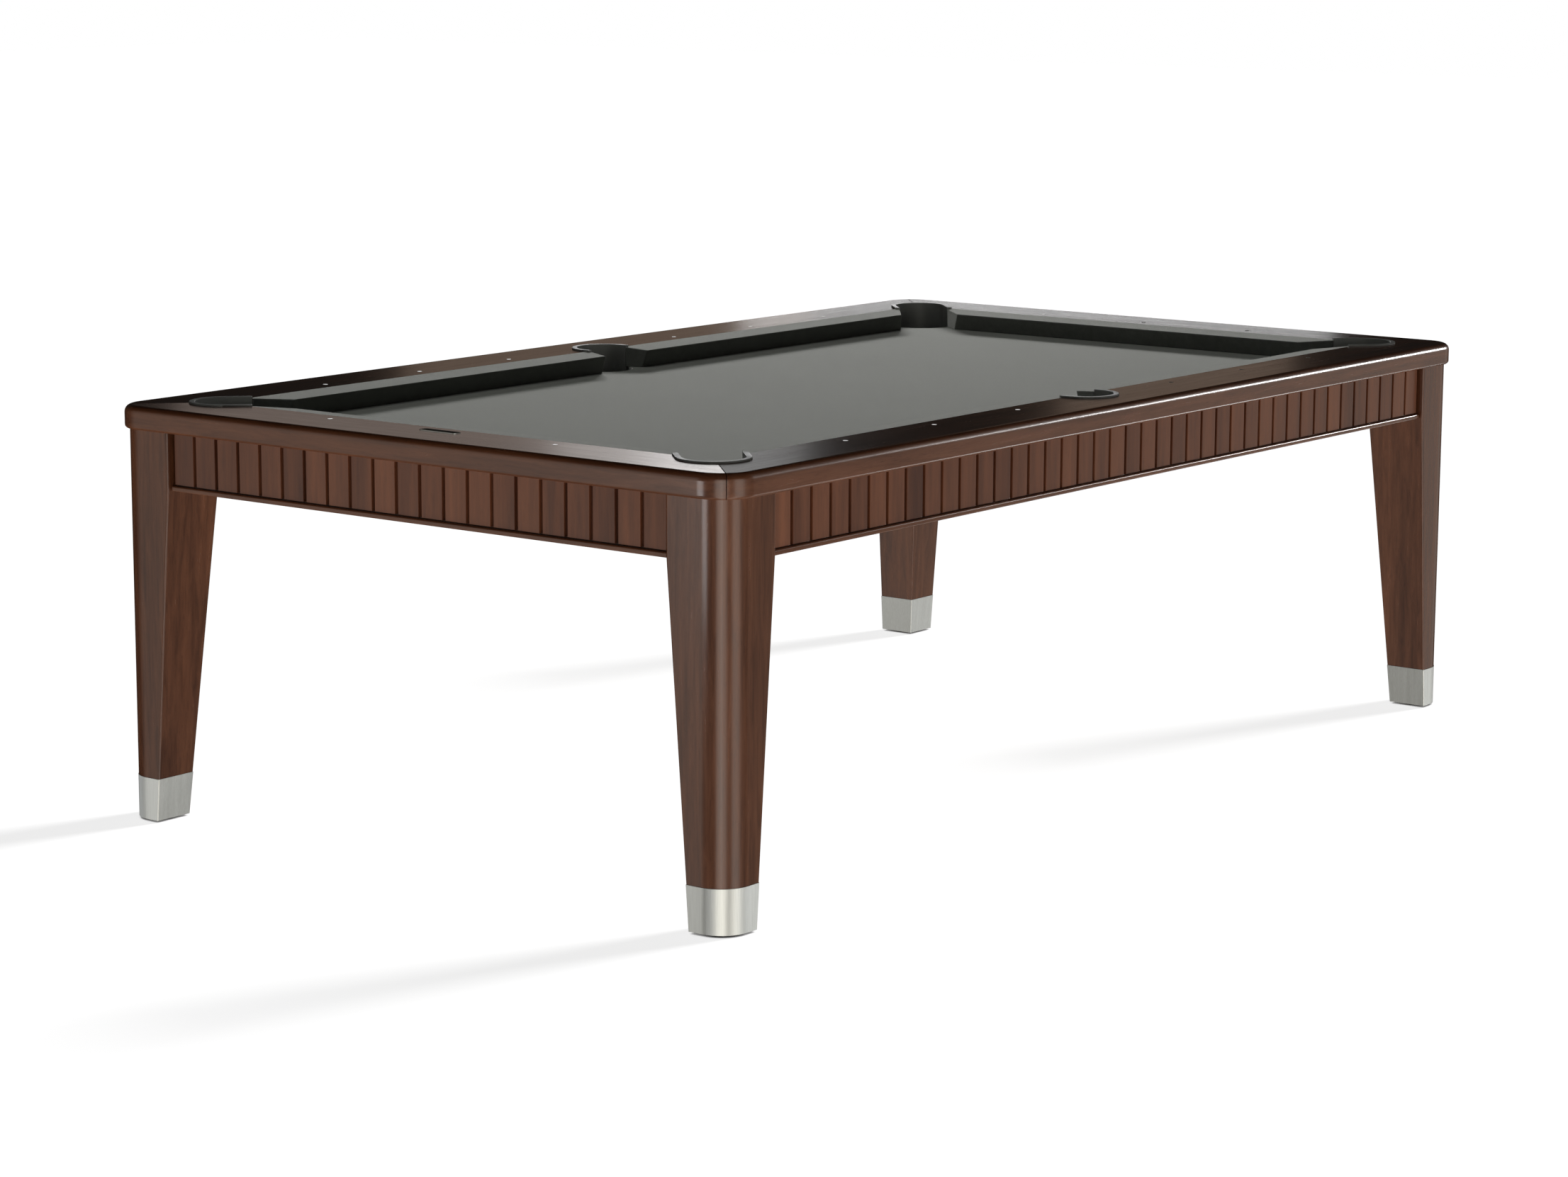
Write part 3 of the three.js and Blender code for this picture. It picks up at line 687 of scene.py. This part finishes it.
def noseEdges(bm):
    return [
        e for e in bm.edges
        if all(abs(v.co.y) < 1e-5 for v in e.verts) and abs(e.verts[0].co.x - e.verts[1].co.x) > 0.3
    ]


def cushionPiece(name, startCorner, endCorner, span, turn, x, y):
    ends = ((startCorner, 0, 1), (endCorner, span, -1))
    bm = bmesh.new()
    section = [
        (0, cushion["noseLow"]), (cushion["undercut"], cushion["low"]), (cushion["width"], cushion["low"]),
        (cushion["width"], cushion["top"]), (0, cushion["noseTop"]),
    ]
    face = bm.faces.new([bm.verts.new((0, out, z)) for out, z in section])
    made = bmesh.ops.extrude_face_region(bm, geom=[face])["geom"]
    bmesh.ops.translate(bm, vec=(span, 0, 0), verts=vertsOf(made))
    bmesh.ops.recalc_face_normals(bm, faces=bm.faces[:])
    for isCorner, origin, way in ends:
        end = cornerEnd if isCorner else sideEnd
        arm, tip = Vector(end["arm"]), Vector(end["tip"])
        slope = (arm - tip).normalized()
        trim(bm, (origin + way * tip.x, 0, 0), (-slope.y * way, slope.x, 0))
        if isCorner:
            woodWay = (Vector(end["wood"]) - arm).normalized()
            trim(bm, (origin + way * arm.x, arm.y, 0), (-woodWay.y * way, woodWay.x, 0))
    bm.normal_update()
    facings = [
        f for f in bm.faces
        if abs(f.normal.z) < 0.01 and abs(f.normal.x) > 0.4 and f.normal.y < 0
    ]
    facingEdges = {e for f in facings for e in f.edges} - set(noseEdges(bm))
    topFacing = [e for e in facingEdges if not level(e, cushion["low"])]
    soften(bm, topFacing, cushion["facingSoft"], 3)
    bm.normal_update()
    soften(bm, noseEdges(bm), cushion["noseSoft"], 3)
    placeAt(bm, turn, x, y)
    piece = toObject("cushion_cloth_" + name, bm)
    cutters = []
    for isCorner, origin, way in ends:
        if not isCorner:
            reach = (origin - way * sideEnd["notchFrom"], origin + way * sideEnd["notchAlong"])
            low = (min(reach), sideEnd["notchOut"], table["under"])
            high = (max(reach), sideEnd["notchOver"], sideEnd["notchTop"])
            cutters.append(blockCutter(low, high, turn, x, y))
    if cutters:
        cutAway(piece, *cutters)
    finishPiece(piece, [cushionWool], ["cushion_" + name], crease=38)


halfX, halfY = table["halfPlayX"], table["halfPlayY"]
cushionPiece("back_right", False, True, halfX, 0, 0, halfY)
cushionPiece("back_left", True, False, halfX, 0, -halfX, halfY)
cushionPiece("front_left", False, True, halfX, math.pi, 0, -halfY)
cushionPiece("front_right", True, False, halfX, math.pi, halfX, -halfY)
cushionPiece("left", True, True, 2 * halfY, quarterTurn, -halfX, -halfY)
cushionPiece("right", True, True, 2 * halfY, -quarterTurn, halfX, halfY)
print("stage: cushions")


bed = {"legRoom": 0.1375, "lip": 0.018, "fold": 0.0014, "thickness": 0.0008, "cutClear": 0.0003,
       "overX": 1.4, "overY": 0.9, "cutSides": 96}


def bedClothPiece():
    sizeX = table["halfPlayX"] + table["slateBorder"]
    sizeY = table["halfPlayY"] + table["slateBorder"]
    top = table["bedTop"]
    bm = bmesh.new()
    block(bm, (-sizeX, -sizeY, top - 0.01), (sizeX, sizeY, top))
    piece = toObject("bed_wool", bm)
    cutters = []
    for spot in pockets:
        cut = pocket["cornerSlateCut"] if spot["corner"] else pocket["sideSlateCut"]
        spot["clothCut"] = cut - bed["cutClear"] + bed["fold"]
        cutters.append(discCutter(
            spot["clothCut"], table["under"], table["over"], spot["x"], spot["y"], bed["cutSides"],
        ))
    for c in corners:
        spanX = [c["signX"] * v for v in (table["halfLegX"] - bed["legRoom"], bed["overX"])]
        spanY = [c["signY"] * v for v in (table["halfLegY"] - bed["legRoom"], bed["overY"])]
        low = (min(spanX), min(spanY), table["under"])
        cutters.append(blockCutter(low, (max(spanX), max(spanY), table["over"])))
    cutAway(piece, *cutters)
    bm = bmesh.new()
    bm.from_mesh(piece.data)
    bmesh.ops.delete(bm, geom=[f for f in bm.faces if f.normal.z < 0.9], context="FACES")
    bmesh.ops.remove_doubles(bm, verts=bm.verts[:], dist=1e-6)
    for spot in pockets:
        # turn the cloth down over the slate's edge round each pocket
        centre = Vector((spot["x"], spot["y"], top))
        radius = spot["clothCut"]
        lip = [
            e for e in bm.edges
            if e.is_boundary and all(abs((v.co - centre).length - radius) < 2e-5 for v in e.verts)
        ]
        fold = bed["fold"]
        for inward, down in ((0.62, 0.12), (0.92, 0.5), (1, 1), (1, bed["lip"] / fold)):
            made = bmesh.ops.extrude_edge_only(bm, edges=lip)["geom"]
            verts = vertsOf(made)
            lip = [e for e in edgesOf(made) if e.is_boundary and all(v in verts for v in e.verts)]
            for v in verts:
                out = v.co - centre
                out.z = 0
                v.co = centre + out.normalized() * (radius - fold * inward)
                v.co.z = top - fold * down
    bmesh.ops.recalc_face_normals(bm, faces=bm.faces[:])
    if sum(f.normal.z * f.calc_area() for f in bm.faces) < 0:
        bmesh.ops.reverse_faces(bm, faces=bm.faces[:])
    area = sum(f.calc_area() for f in bm.faces)
    bm.to_mesh(piece.data)
    bm.free()
    finishPiece(piece, [bedWool], ["bed_cloth"], weighted=False, crease=60)
    thick = piece.modifiers.new("clothThickness", "SOLIDIFY")
    thick.thickness = bed["thickness"]
    thick.offset = -1
    evenShading(piece)


bedClothPiece()
print("stage: bed cloth")


leg = {"topWidth": 0.1365, "footWidth": 0.085, "cornerRadius": 0.058, "edgeRadius": 0.004,
       "taperTop": 0.663, "top": 0.7757, "capHeight": 0.088, "capLow": 0.004, "capWall": 0.002,
       "capProud": 0.0008, "capSoft": 0.0004, "tenonLow": 0.018, "boreRadius": 0.007,
       "boreTop": 0.0897}


def legBlock(bm, low, high, grow):
    # an untapered length of leg with its outer corner at the origin
    width = leg["topWidth"]
    block(bm, (-width - grow, -width - grow, low), (grow, grow, high))
    outer = [e for e in bm.edges if upright(e) and min(e.verts[0].co.xy) > -1e-6]
    soften(bm, outer, leg["cornerRadius"] + grow, 16)
    others = [
        e for e in bm.edges
        if upright(e) and min(e.verts[0].co.xy) < -width - grow + 1e-5
        and len(e.link_faces) == 2 and e.calc_face_angle(0) > 1
    ]
    soften(bm, others, leg["edgeRadius"], 4)


def taper(bm, grow):
    # draws the two inner faces in towards the floor
    start = leg["cornerRadius"]
    for v in bm.verts:
        share = min(1, v.co.z / leg["taperTop"])
        width = leg["footWidth"] + (leg["topWidth"] - leg["footWidth"]) * share
        scale = (width + grow - start) / (leg["topWidth"] + grow - start)
        for i in (0, 1):
            if v.co[i] < -start:
                v.co[i] = -start + (v.co[i] + start) * scale


def legPieces(c):
    x, y = c["signX"] * table["halfLegX"], c["signY"] * table["halfLegY"]
    bm = bmesh.new()
    legBlock(bm, leg["capHeight"] + table["gap"], leg["top"], 0)
    bmesh.ops.bisect_plane(
        bm, geom=bm.verts[:] + bm.edges[:] + bm.faces[:], dist=1e-7,
        plane_co=(0, 0, leg["taperTop"]), plane_no=(0, 0, 1),
    )
    bm.normal_update()
    foot = [f for f in bm.faces if f.normal.z < -0.9]
    inset = leg["capWall"] - leg["capProud"] + table["gap"]
    bmesh.ops.inset_region(bm, faces=foot, thickness=inset, use_even_offset=True)
    made = bmesh.ops.extrude_face_region(bm, geom=foot)["geom"]
    drop = leg["tenonLow"] - leg["capHeight"] - table["gap"]
    bmesh.ops.translate(bm, vec=(0, 0, drop), verts=vertsOf(made))
    taper(bm, 0)
    bmesh.ops.recalc_face_normals(bm, faces=bm.faces[:])
    placeAt(bm, c["turn"], x, y)
    piece = toObject("leg_wood_" + c["name"], bm)
    spot = next(p for p in pockets if p["name"] == c["name"])
    footCentre = (leg["footWidth"] + leg["capWall"]) / 2
    footX, footY = x - c["signX"] * footCentre, y - c["signY"] * footCentre
    gap = pocket["bucketGap"]
    bucketRoom = discCutter(
        pocket["cornerBucket"] + gap, pocket["bucketLow"] - gap, table["over"],
        spot["bucketX"], spot["bucketY"],
    )
    cutAway(piece, bucketRoom, discCutter(leg["boreRadius"], 0, leg["boreTop"], footX, footY, 32))
    finishPiece(piece, [legWood], ["leg_" + c["name"]])

    bm = bmesh.new()
    legBlock(bm, leg["capLow"], leg["capHeight"], leg["capProud"])
    bm.normal_update()
    bmesh.ops.delete(bm, geom=[f for f in bm.faces if abs(f.normal.z) > 0.9], context="FACES_ONLY")
    bmesh.ops.recalc_face_normals(bm, faces=bm.faces[:])
    if sum(f.normal.x * f.calc_center_median().x for f in bm.faces) < 0:
        bmesh.ops.reverse_faces(bm, faces=bm.faces[:])
    bmesh.ops.solidify(bm, geom=bm.faces[:], thickness=leg["capWall"])
    bmesh.ops.recalc_face_normals(bm, faces=bm.faces[:])
    bm.normal_update()
    rims = rimEdges(bm, leg["capHeight"]) + rimEdges(bm, leg["capLow"])
    soften(bm, rims, leg["capSoft"], 2)
    taper(bm, leg["capProud"])
    placeAt(bm, c["turn"], x, y)
    finishPiece(toObject("leg_cap_" + c["name"], bm), [capSteel], ["cap_" + c["name"]])
    return footX, footY


foot = {"radius": 0.032, "thickness": 0.009, "hubRadius": 0.011, "hubTop": 0.013, "chamfer": 0.0015,
        "stemRadius": 0.006, "socketGap": 0.0003, "stemLow": 0.0107, "stemHigh": 0.0807, "pitch": 0.00175}


def footPieces(c, x, y):
    name = c["name"]
    pad, hub, thickness, hubTop = foot["radius"], foot["hubRadius"], foot["thickness"], foot["hubTop"]
    socket = foot["stemRadius"] + foot["socketGap"]
    socketLow = foot["stemLow"] - foot["socketGap"]
    bm = bmesh.new()
    spun(bm, [
        (0, 0), (pad - foot["chamfer"], 0), (pad - 0.0004, 0.0004), (pad, foot["chamfer"]),
        (pad, thickness / 2), (pad - 0.0015, thickness / 2 + 0.0008),
        (hub + 0.002, thickness - 0.0004), (hub, thickness + 0.0012), (hub, hubTop - 0.0006),
        (hub - 0.0006, hubTop), (socket, hubTop), (socket, socketLow), (0, socketLow),
    ], 48)
    placeAt(bm, 0, x, y)
    piece = toObject("levelling_pad_" + name, bm)
    finishPiece(piece, [footBlack], ["foot_pad_" + name], "foot_" + name)
    radius, low, high, pitch = foot["stemRadius"], foot["stemLow"], foot["stemHigh"], foot["pitch"]
    profile = [(0, low), (radius - 0.0008, low), (radius - 0.0008, low + 0.004)]
    z = low + 0.004
    while z + pitch < high - 0.001:
        profile += [(radius, z + pitch * 0.5), (radius - 0.001, z + pitch)]
        z += pitch
    profile += [(radius - 0.001, high), (0, high)]
    bm = bmesh.new()
    spun(bm, profile, 20)
    placeAt(bm, 0, x, y)
    piece = toObject("levelling_stem_" + name, bm)
    finishPiece(piece, [stemSteel], ["foot_stem_" + name], "stem_" + name)


for c in corners:
    footPieces(c, *legPieces(c))
print("stage: legs and feet")


apron = {"low": 0.6733, "top": 0.7745, "slatLow": 0.6750, "slatTop": 0.7738,
         "faceX": 1.3, "faceY": 0.7412, "slatDepth": 0.008, "backing": 0.018, "groove": 0.0075,
         "slatSoft": 0.0011,
         "longLength": 2.343, "shortLength": 1.2254, "longCount": 41, "shortCount": 21,
         "ledgeLow": 0.663, "ledgeTop": 0.673, "ledgeProud": 0.005, "ledgeSoft": 0.004,
         "ledgeUnderSoft": 0.0015, "boardGap": 0.0001}
slatDraw = random.Random(11)


def apronPieces(side):
    length = apron["longLength"] if side["long"] else apron["shortLength"]
    count = apron["longCount"] if side["long"] else apron["shortCount"]
    face = apron["faceY"] if side["long"] else apron["faceX"]
    pitch = length / count
    back = -apron["slatDepth"] - apron["backing"]
    bm = bmesh.new()
    tone = bm.faces.layers.float.new("slatTone")
    front = -apron["slatDepth"] - apron["boardGap"]
    block(bm, (-length / 2, back, apron["low"]), (length / 2, front, apron["top"]))
    # the backing board is near-black as painted shade seen through the grooves
    for f in bm.faces:
        f.material_index = 1
    for i in range(count):
        low = -length / 2 + i * pitch + apron["groove"] / 2
        before = set(bm.faces)
        one = bmesh.new()
        high = low + pitch - apron["groove"]
        block(one, (low, -apron["slatDepth"], apron["slatLow"]), (high, 0, apron["slatTop"]))
        faceEdges = [e for e in one.edges if all(v.co.y > -1e-6 for v in e.verts)]
        soften(one, faceEdges, apron["slatSoft"], 2)
        single = bpy.data.meshes.new("slat")
        one.to_mesh(single)
        one.free()
        bm.from_mesh(single)
        bpy.data.meshes.remove(single)
        value = slatDraw.random()
        bm.normal_update()
        for f in set(bm.faces) - before:
            f[tone] = value
            f.material_index = 1 if abs(f.normal.x) > 0.9 else 0  # the grooves' side faces get the near-black backing as painted shade between the slats
    placeAt(bm, 0, 0, face)
    placeAt(bm, side["turn"])
    piece = toObject("apron_slats_" + side["name"], bm)
    finishPiece(piece, [slatWood, grooveShadeWood], ["apron_" + side["name"]])

    bm = bmesh.new()
    low = (-length / 2, back, apron["ledgeLow"])
    block(bm, low, (length / 2, apron["ledgeProud"], apron["ledgeTop"]))
    for height, radius, segments in (
        (apron["ledgeTop"], apron["ledgeSoft"], 6), (apron["ledgeLow"], apron["ledgeUnderSoft"], 3),
    ):
        bm.normal_update()
        edges = [e for e in bm.edges if level(e, height) and all(v.co.y > 0 for v in e.verts)]
        soften(bm, edges, radius, segments)
    placeAt(bm, 0, 0, face)
    placeAt(bm, side["turn"])
    wood = ledgeWoodLong if side["long"] else ledgeWoodShort
    finishPiece(toObject("apron_ledge_" + side["name"], bm), [wood], ["ledge_" + side["name"]])


for side in sides:
    apronPieces(side)
print("stage: aprons")


plate = {"length": 0.09, "width": 0.02, "low": 0.82205, "top": 0.82325, "border": 0.0014, "sunk": 0.0004,
         "x": -1.2116, "pinRadius": 0.0012, "pinFromEnd": 0.006, "pinProud": 0.0004}


def nameplatePiece():
    bm = bmesh.new()
    halfL, halfW = plate["length"] / 2, plate["width"] / 2
    block(bm, (-halfW, -halfL, plate["low"]), (halfW, halfL, plate["top"]))
    soften(bm, [e for e in bm.edges if upright(e)], halfW * 0.55, 8)
    bm.normal_update()
    soften(bm, rimEdges(bm, plate["top"]), 0.0003, 2)
    bm.normal_update()
    topFace = [f for f in bm.faces if f.normal.z > 0.99]
    bmesh.ops.inset_region(bm, faces=topFace, thickness=plate["border"], depth=0)
    bmesh.ops.inset_region(bm, faces=topFace, thickness=0.0003, depth=-plate["sunk"])
    for sign in (1, -1):
        pin = bmesh.ops.create_uvsphere(
            bm, u_segments=16, v_segments=8, radius=plate["pinRadius"],
        )["verts"]
        bmesh.ops.scale(bm, vec=(1, 1, 0.4), verts=pin)
        along = sign * (halfL - plate["pinFromEnd"])
        placeAt(bm, 0, 0, along, plate["top"] - plate["sunk"] + plate["pinProud"], pin)
    placeAt(bm, 0, plate["x"], 0)
    finishPiece(toObject("blank_nameplate", bm), [plateSteel], ["nameplate"])


nameplatePiece()


def dress(material, *names):
    for name in names:
        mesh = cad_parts[name].data
        mesh.materials.clear()
        mesh.materials.append(material)


dress(slateStone, "slate_left", "slate_middle", "slate_right")
dress(frameWood, "beam_back_left", "beam_back_right", "beam_front_left", "beam_front_right")
dress(frameWoodAcross, "beam_left", "beam_right", "seam_beam_left", "seam_beam_right")
print("stage: slates and frame")


# Every lamp but the sun is a soft panel: azimuth, elevation, distance, (width, height), how bright
# it looks, the pieces it lights, and whether it shows in matt light, in reflections or in both.
# Only reflections see the ring of pale and dark walls round them: azimuth and brightness.
studio = {
    "floorSize": 60, "floorDrop": 0.0002, "floorGlow": 0.83, "floorDiffuse": 0.25,
    "floorBounce": 1.05, "worldFill": 0.03, "contact": 0.03, "contactShade": (0.1, 0.55),
    "sun": {"azimuth": -18, "elevation": 33, "distance": 8, "strength": 4.8, "softness": 13},
    "panels": {
        "keyRight": (-20, 33, 6.5, (2.8, 0.45), 4, "hard", "matt"),
        "edgeRight": (-26, 14, 7.0, (1.6, 0.5), 60, "frontEdges", "shine"),
        "edgeCorner": (-37, 14, 7.0, (0.3, 0.5), 40, "frontEdges", "shine"),
        "edgeLow": (-26, -24, 7.0, (2.4, 0.8), 5, "frontEdges", "shine"),
        "backPanel": (41, 13, 9.0, (1.1, 3.2), 0.4, "nearRails", "both"),
        "backWide": (46, 13, 9.0, (2.8, 3.2), 0.28, "nearEnd", "both"),
        "backCorner": (39.6, 18, 9.0, (0.7, 1.6), 3.0, "nearEnd", "shine"),
        "frontCorner": (42.6, 15, 9.0, (0.5, 1.2), 1.1, "frontRail", "shine"),
        "frontFar": (27, 13, 9.0, (1.0, 3.2), 0.2, "frontRail", "shine"),
        "backMiddle": (43, 13, 9.0, (1.8, 3.2), 0.2, "backRail", "shine"),
        "backHorizon": (31, 3.5, 9.0, (2.6, 0.9), 2.3, "farEnd", "both"),
        "bedGlow": (39, 19, 9.0, (3.0, 1.0), 62, "cloth", "both"),
        "bedOver": (140, 78, 5.0, (3.4, 2.4), 4.5, "cloth", "matt"),
        "rimGlow": (39, 8, 9.0, (3.4, 2.4), 6, "rims", "both"),
        "sightGlow": (41, 7, 9.0, (3.6, 2.0), 1.6, "sights", "both"),
        "overhead": (100, 82, 5.0, (2.6, 1.8), 0.5, "all", "matt"),
        "leftSide": (200, 3, 6.0, (2.4, 1.0), 2.0, "hard", "matt"),
        "rightSide": (285, 3, 6.0, (2.4, 1.0), 3.0, "hard", "matt"),
        "cornerGlint": (178, -1, 3.1, (0.7, 0.6), 4.0, "nearCorner", "shine"),
        "capFront": (190, -14, 5.0, (1.8, 1.6), 0.8, "caps", "shine"),
        "capSide": (329, -15, 6.0, (1.2, 1.2), 1.5, "caps", "shine"),
        "capNear": (305, -18, 4.6, (1.6, 1.4), 1.7, "caps", "shine"),
        "capEast": (0, -16, 5.0, (3.2, 1.8), 0.6, "caps", "shine"),
        "capNorth": (55, -16, 5.0, (3.6, 1.8), 0.6, "caps", "shine"),
        "capWest": (105, -16, 5.0, (3.6, 1.8), 0.6, "caps", "shine"),
        "capSouth": (285, -16, 5.0, (2.4, 1.8), 0.6, "caps", "shine"),
        "capCorner": (262, -14, 5.0, (1.2, 1.4), 1.2, "caps", "shine"),
        "capLeft": (147, -14, 5.6, (2.6, 1.2), 1.1, "caps", "shine"),
    },
    "warm": {
        "backWide": (1.0, 0.8, 0.7), "frontFar": (1.0, 0.72, 0.55), "backMiddle": (1.0, 0.72, 0.55),
    },
    "ring": [
        (-180, 0.1), (-163, 0.1), (-156, 1.9), (-144, 2.1), (-142, 4.5), (-140, 1.9), (-128, 1.7),
        (-122, 0.3), (-108, 0.25), (-102, 1.7), (-82, 1.6), (-70, 0.3), (-45, 0.1), (-37, 0.1),
        (-31, 0.5), (-20, 0.6), (0, 0.05), (20, 0.01), (110, 0.02), (130, 0.4), (138, 0.7),
        (143, 0.85), (147, 0.5), (152, 0.12), (180, 0.1),
    ],
    "ringGain": 5.0, "ringTint": (1.0, 0.95, 0.87), "ringFade": (0.3, 0.6),
    "ringOver": 0.1, "aim": (0, 0, 0.6),
}
# Sets of pieces for the lamps, by how their names begin; "hard" is everything but the cloth
litSets = {
    "all": ("",),
    "cloth": ("bed_wool", "cushion_cloth_"),
    "nearRails": ("rail_cap_left", "rail_cap_front"),
    "nearCorner": ("rail_cap_left", "leg_wood_front_left"),
    "frontEdges": ("rail_cap_front", "apron_ledge_front"),
    "frontRail": ("rail_cap_front",),
    "backRail": ("rail_cap_back",),
    "rims": ("pocket_liner_",),
    "sights": ("rail_sights",),
    "farEnd": ("rail_cap_right", "rail_cap_back"),
    "nearEnd": ("rail_cap_left",),
    "caps": ("leg_cap_",),
    "legs": ("leg_", "levelling_"),
}


def aimed(name, light, azimuth, elevation, distance):
    lamp = bpy.data.objects.new(name, light)
    bpy.context.scene.collection.objects.link(lamp)
    a, e = math.radians(azimuth), math.radians(elevation)
    way = Vector((math.cos(a) * math.cos(e), math.sin(a) * math.cos(e), math.sin(e)))
    lamp.location = Vector(studio["aim"]) + way * distance
    lamp.rotation_euler = way.to_track_quat("Z", "Y").to_euler()
    lamp.visible_camera = False
    return lamp


def panel(name, azimuth, elevation, distance, size, brightness, lit, rays):
    light = bpy.data.lights.new(name, "AREA")
    light.shape = "RECTANGLE"
    light.size, light.size_y = size
    light.energy = brightness * math.pi * size[0] * size[1]
    light.color = studio["warm"].get(name, (1.0, 1.0, 1.0))
    lamp = aimed(name, light, azimuth, elevation, distance)
    lamp.visible_glossy = rays != "matt"
    lamp.visible_diffuse = rays != "shine"
    lamp.light_linking.receiver_collection = lit


def gathered(name, objects):
    group = bpy.data.collections.new(name)
    for o in objects:
        group.objects.link(o)
    return group


def makeFloor():
    bm = bmesh.new()
    bmesh.ops.create_grid(bm, x_segments=1, y_segments=1, size=studio["floorSize"] / 2)
    placeAt(bm, z=-studio["floorDrop"])
    floor = toObject("floor", bm)
    material = bpy.data.materials.new("paleFloor")
    material.use_nodes = True
    tree = material.node_tree
    tree.nodes.clear()
    matt = node(tree, "BsdfDiffuse", {"Color": (*[studio["floorDiffuse"]] * 3, 1)}).outputs[0]
    shade = node(tree, "AmbientOcclusion", {"Distance": studio["contact"]}, samples=8).outputs["AO"]
    lift = remap(tree, shade, *studio["contactShade"], 0.0, studio["floorGlow"])
    glow = node(tree, "Emission", {"Strength": lift}).outputs[0]
    seen = node(tree, "AddShader", {0: matt, 1: glow}).outputs[0]
    bounce = node(tree, "Emission", {"Strength": studio["floorBounce"]}).outputs[0]
    paths = node(tree, "LightPath").outputs
    mixed = node(tree, "MixShader", {0: paths["Is Camera Ray"], 1: bounce, 2: seen}).outputs[0]
    # seen from below the floor is clear, so the underside and the feet can be looked at
    below = node(tree, "NewGeometry").outputs["Backfacing"]
    clear = node(tree, "BsdfTransparent").outputs[0]
    sided = node(tree, "MixShader", {0: below, 1: mixed, 2: clear}).outputs[0]
    node(tree, "OutputMaterial", {"Surface": sided})
    floor.data.materials.append(material)
    floor.visible_glossy = False
    floor.visible_shadow = False
    floor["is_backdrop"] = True
    return floor


def makeWorld():
    world = bpy.data.worlds.new("studio")
    bpy.context.scene.world = world
    world.use_nodes = True
    tree = world.node_tree
    tree.nodes.clear()
    way = node(tree, "SeparateXYZ", {0: node(tree, "TexCoord").outputs["Generated"]}).outputs
    around = combine(tree, "ARCTAN2", way["Y"], way["X"])
    share = remap(tree, around, -math.pi, math.pi)
    ring = node(tree, "ValToRGB", {"Fac": share})
    stops = ring.color_ramp.elements
    while len(stops) < len(studio["ring"]):
        stops.new(0.5)
    for stop, (azimuth, brightness) in zip(stops, studio["ring"]):
        stop.position = (azimuth + 180) / 360
        stop.color = (*[brightness / studio["ringGain"] * tint for tint in studio["ringTint"]], 1)
    low = remap(tree, way["Z"], *studio["ringFade"], studio["ringGain"], studio["ringOver"])
    ringLight, white, fill = [
        node(tree, "Background", {"Color": colour, "Strength": strength}).outputs[0]
        for colour, strength in (
            (ring.outputs["Color"], low), ((1, 1, 1, 1), 1.0), ((1, 1, 1, 1), studio["worldFill"]),
        )
    ]
    paths = node(tree, "LightPath").outputs
    bounced = node(tree, "MixShader", {0: paths["Is Glossy Ray"], 1: fill, 2: ringLight}).outputs[0]
    mixed = node(tree, "MixShader", {0: paths["Is Camera Ray"], 1: bounced, 2: white}).outputs[0]
    node(tree, "OutputWorld", {"Surface": mixed})


def makeStudio():
    floor = makeFloor()
    makeWorld()
    everything = list(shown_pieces())
    groups = {
        name: [o for o in everything if o.name.startswith(starts)]
        for name, starts in litSets.items()
    }
    groups["hard"] = [o for o in everything if o not in groups["cloth"]]
    lit = {name: gathered(name + "Parts", parts) for name, parts in groups.items()}
    for name, (*values, group, rays) in studio["panels"].items():
        panel(name, *values, lit[group], rays)
    # the sun lights the floor alone, where only the legs shade it
    values = studio["sun"]
    sunLight = bpy.data.lights.new("sun", "SUN")
    sunLight.energy = values["strength"]
    sunLight.angle = math.radians(values["softness"])
    sun = aimed("sun", sunLight, values["azimuth"], values["elevation"], values["distance"])
    sun.light_linking.receiver_collection = gathered("floorOnly", [floor])
    sun.light_linking.blocker_collection = lit["legs"]
    bpy.context.scene.view_settings.view_transform = "Standard"


makeStudio()
print("stage: studio")

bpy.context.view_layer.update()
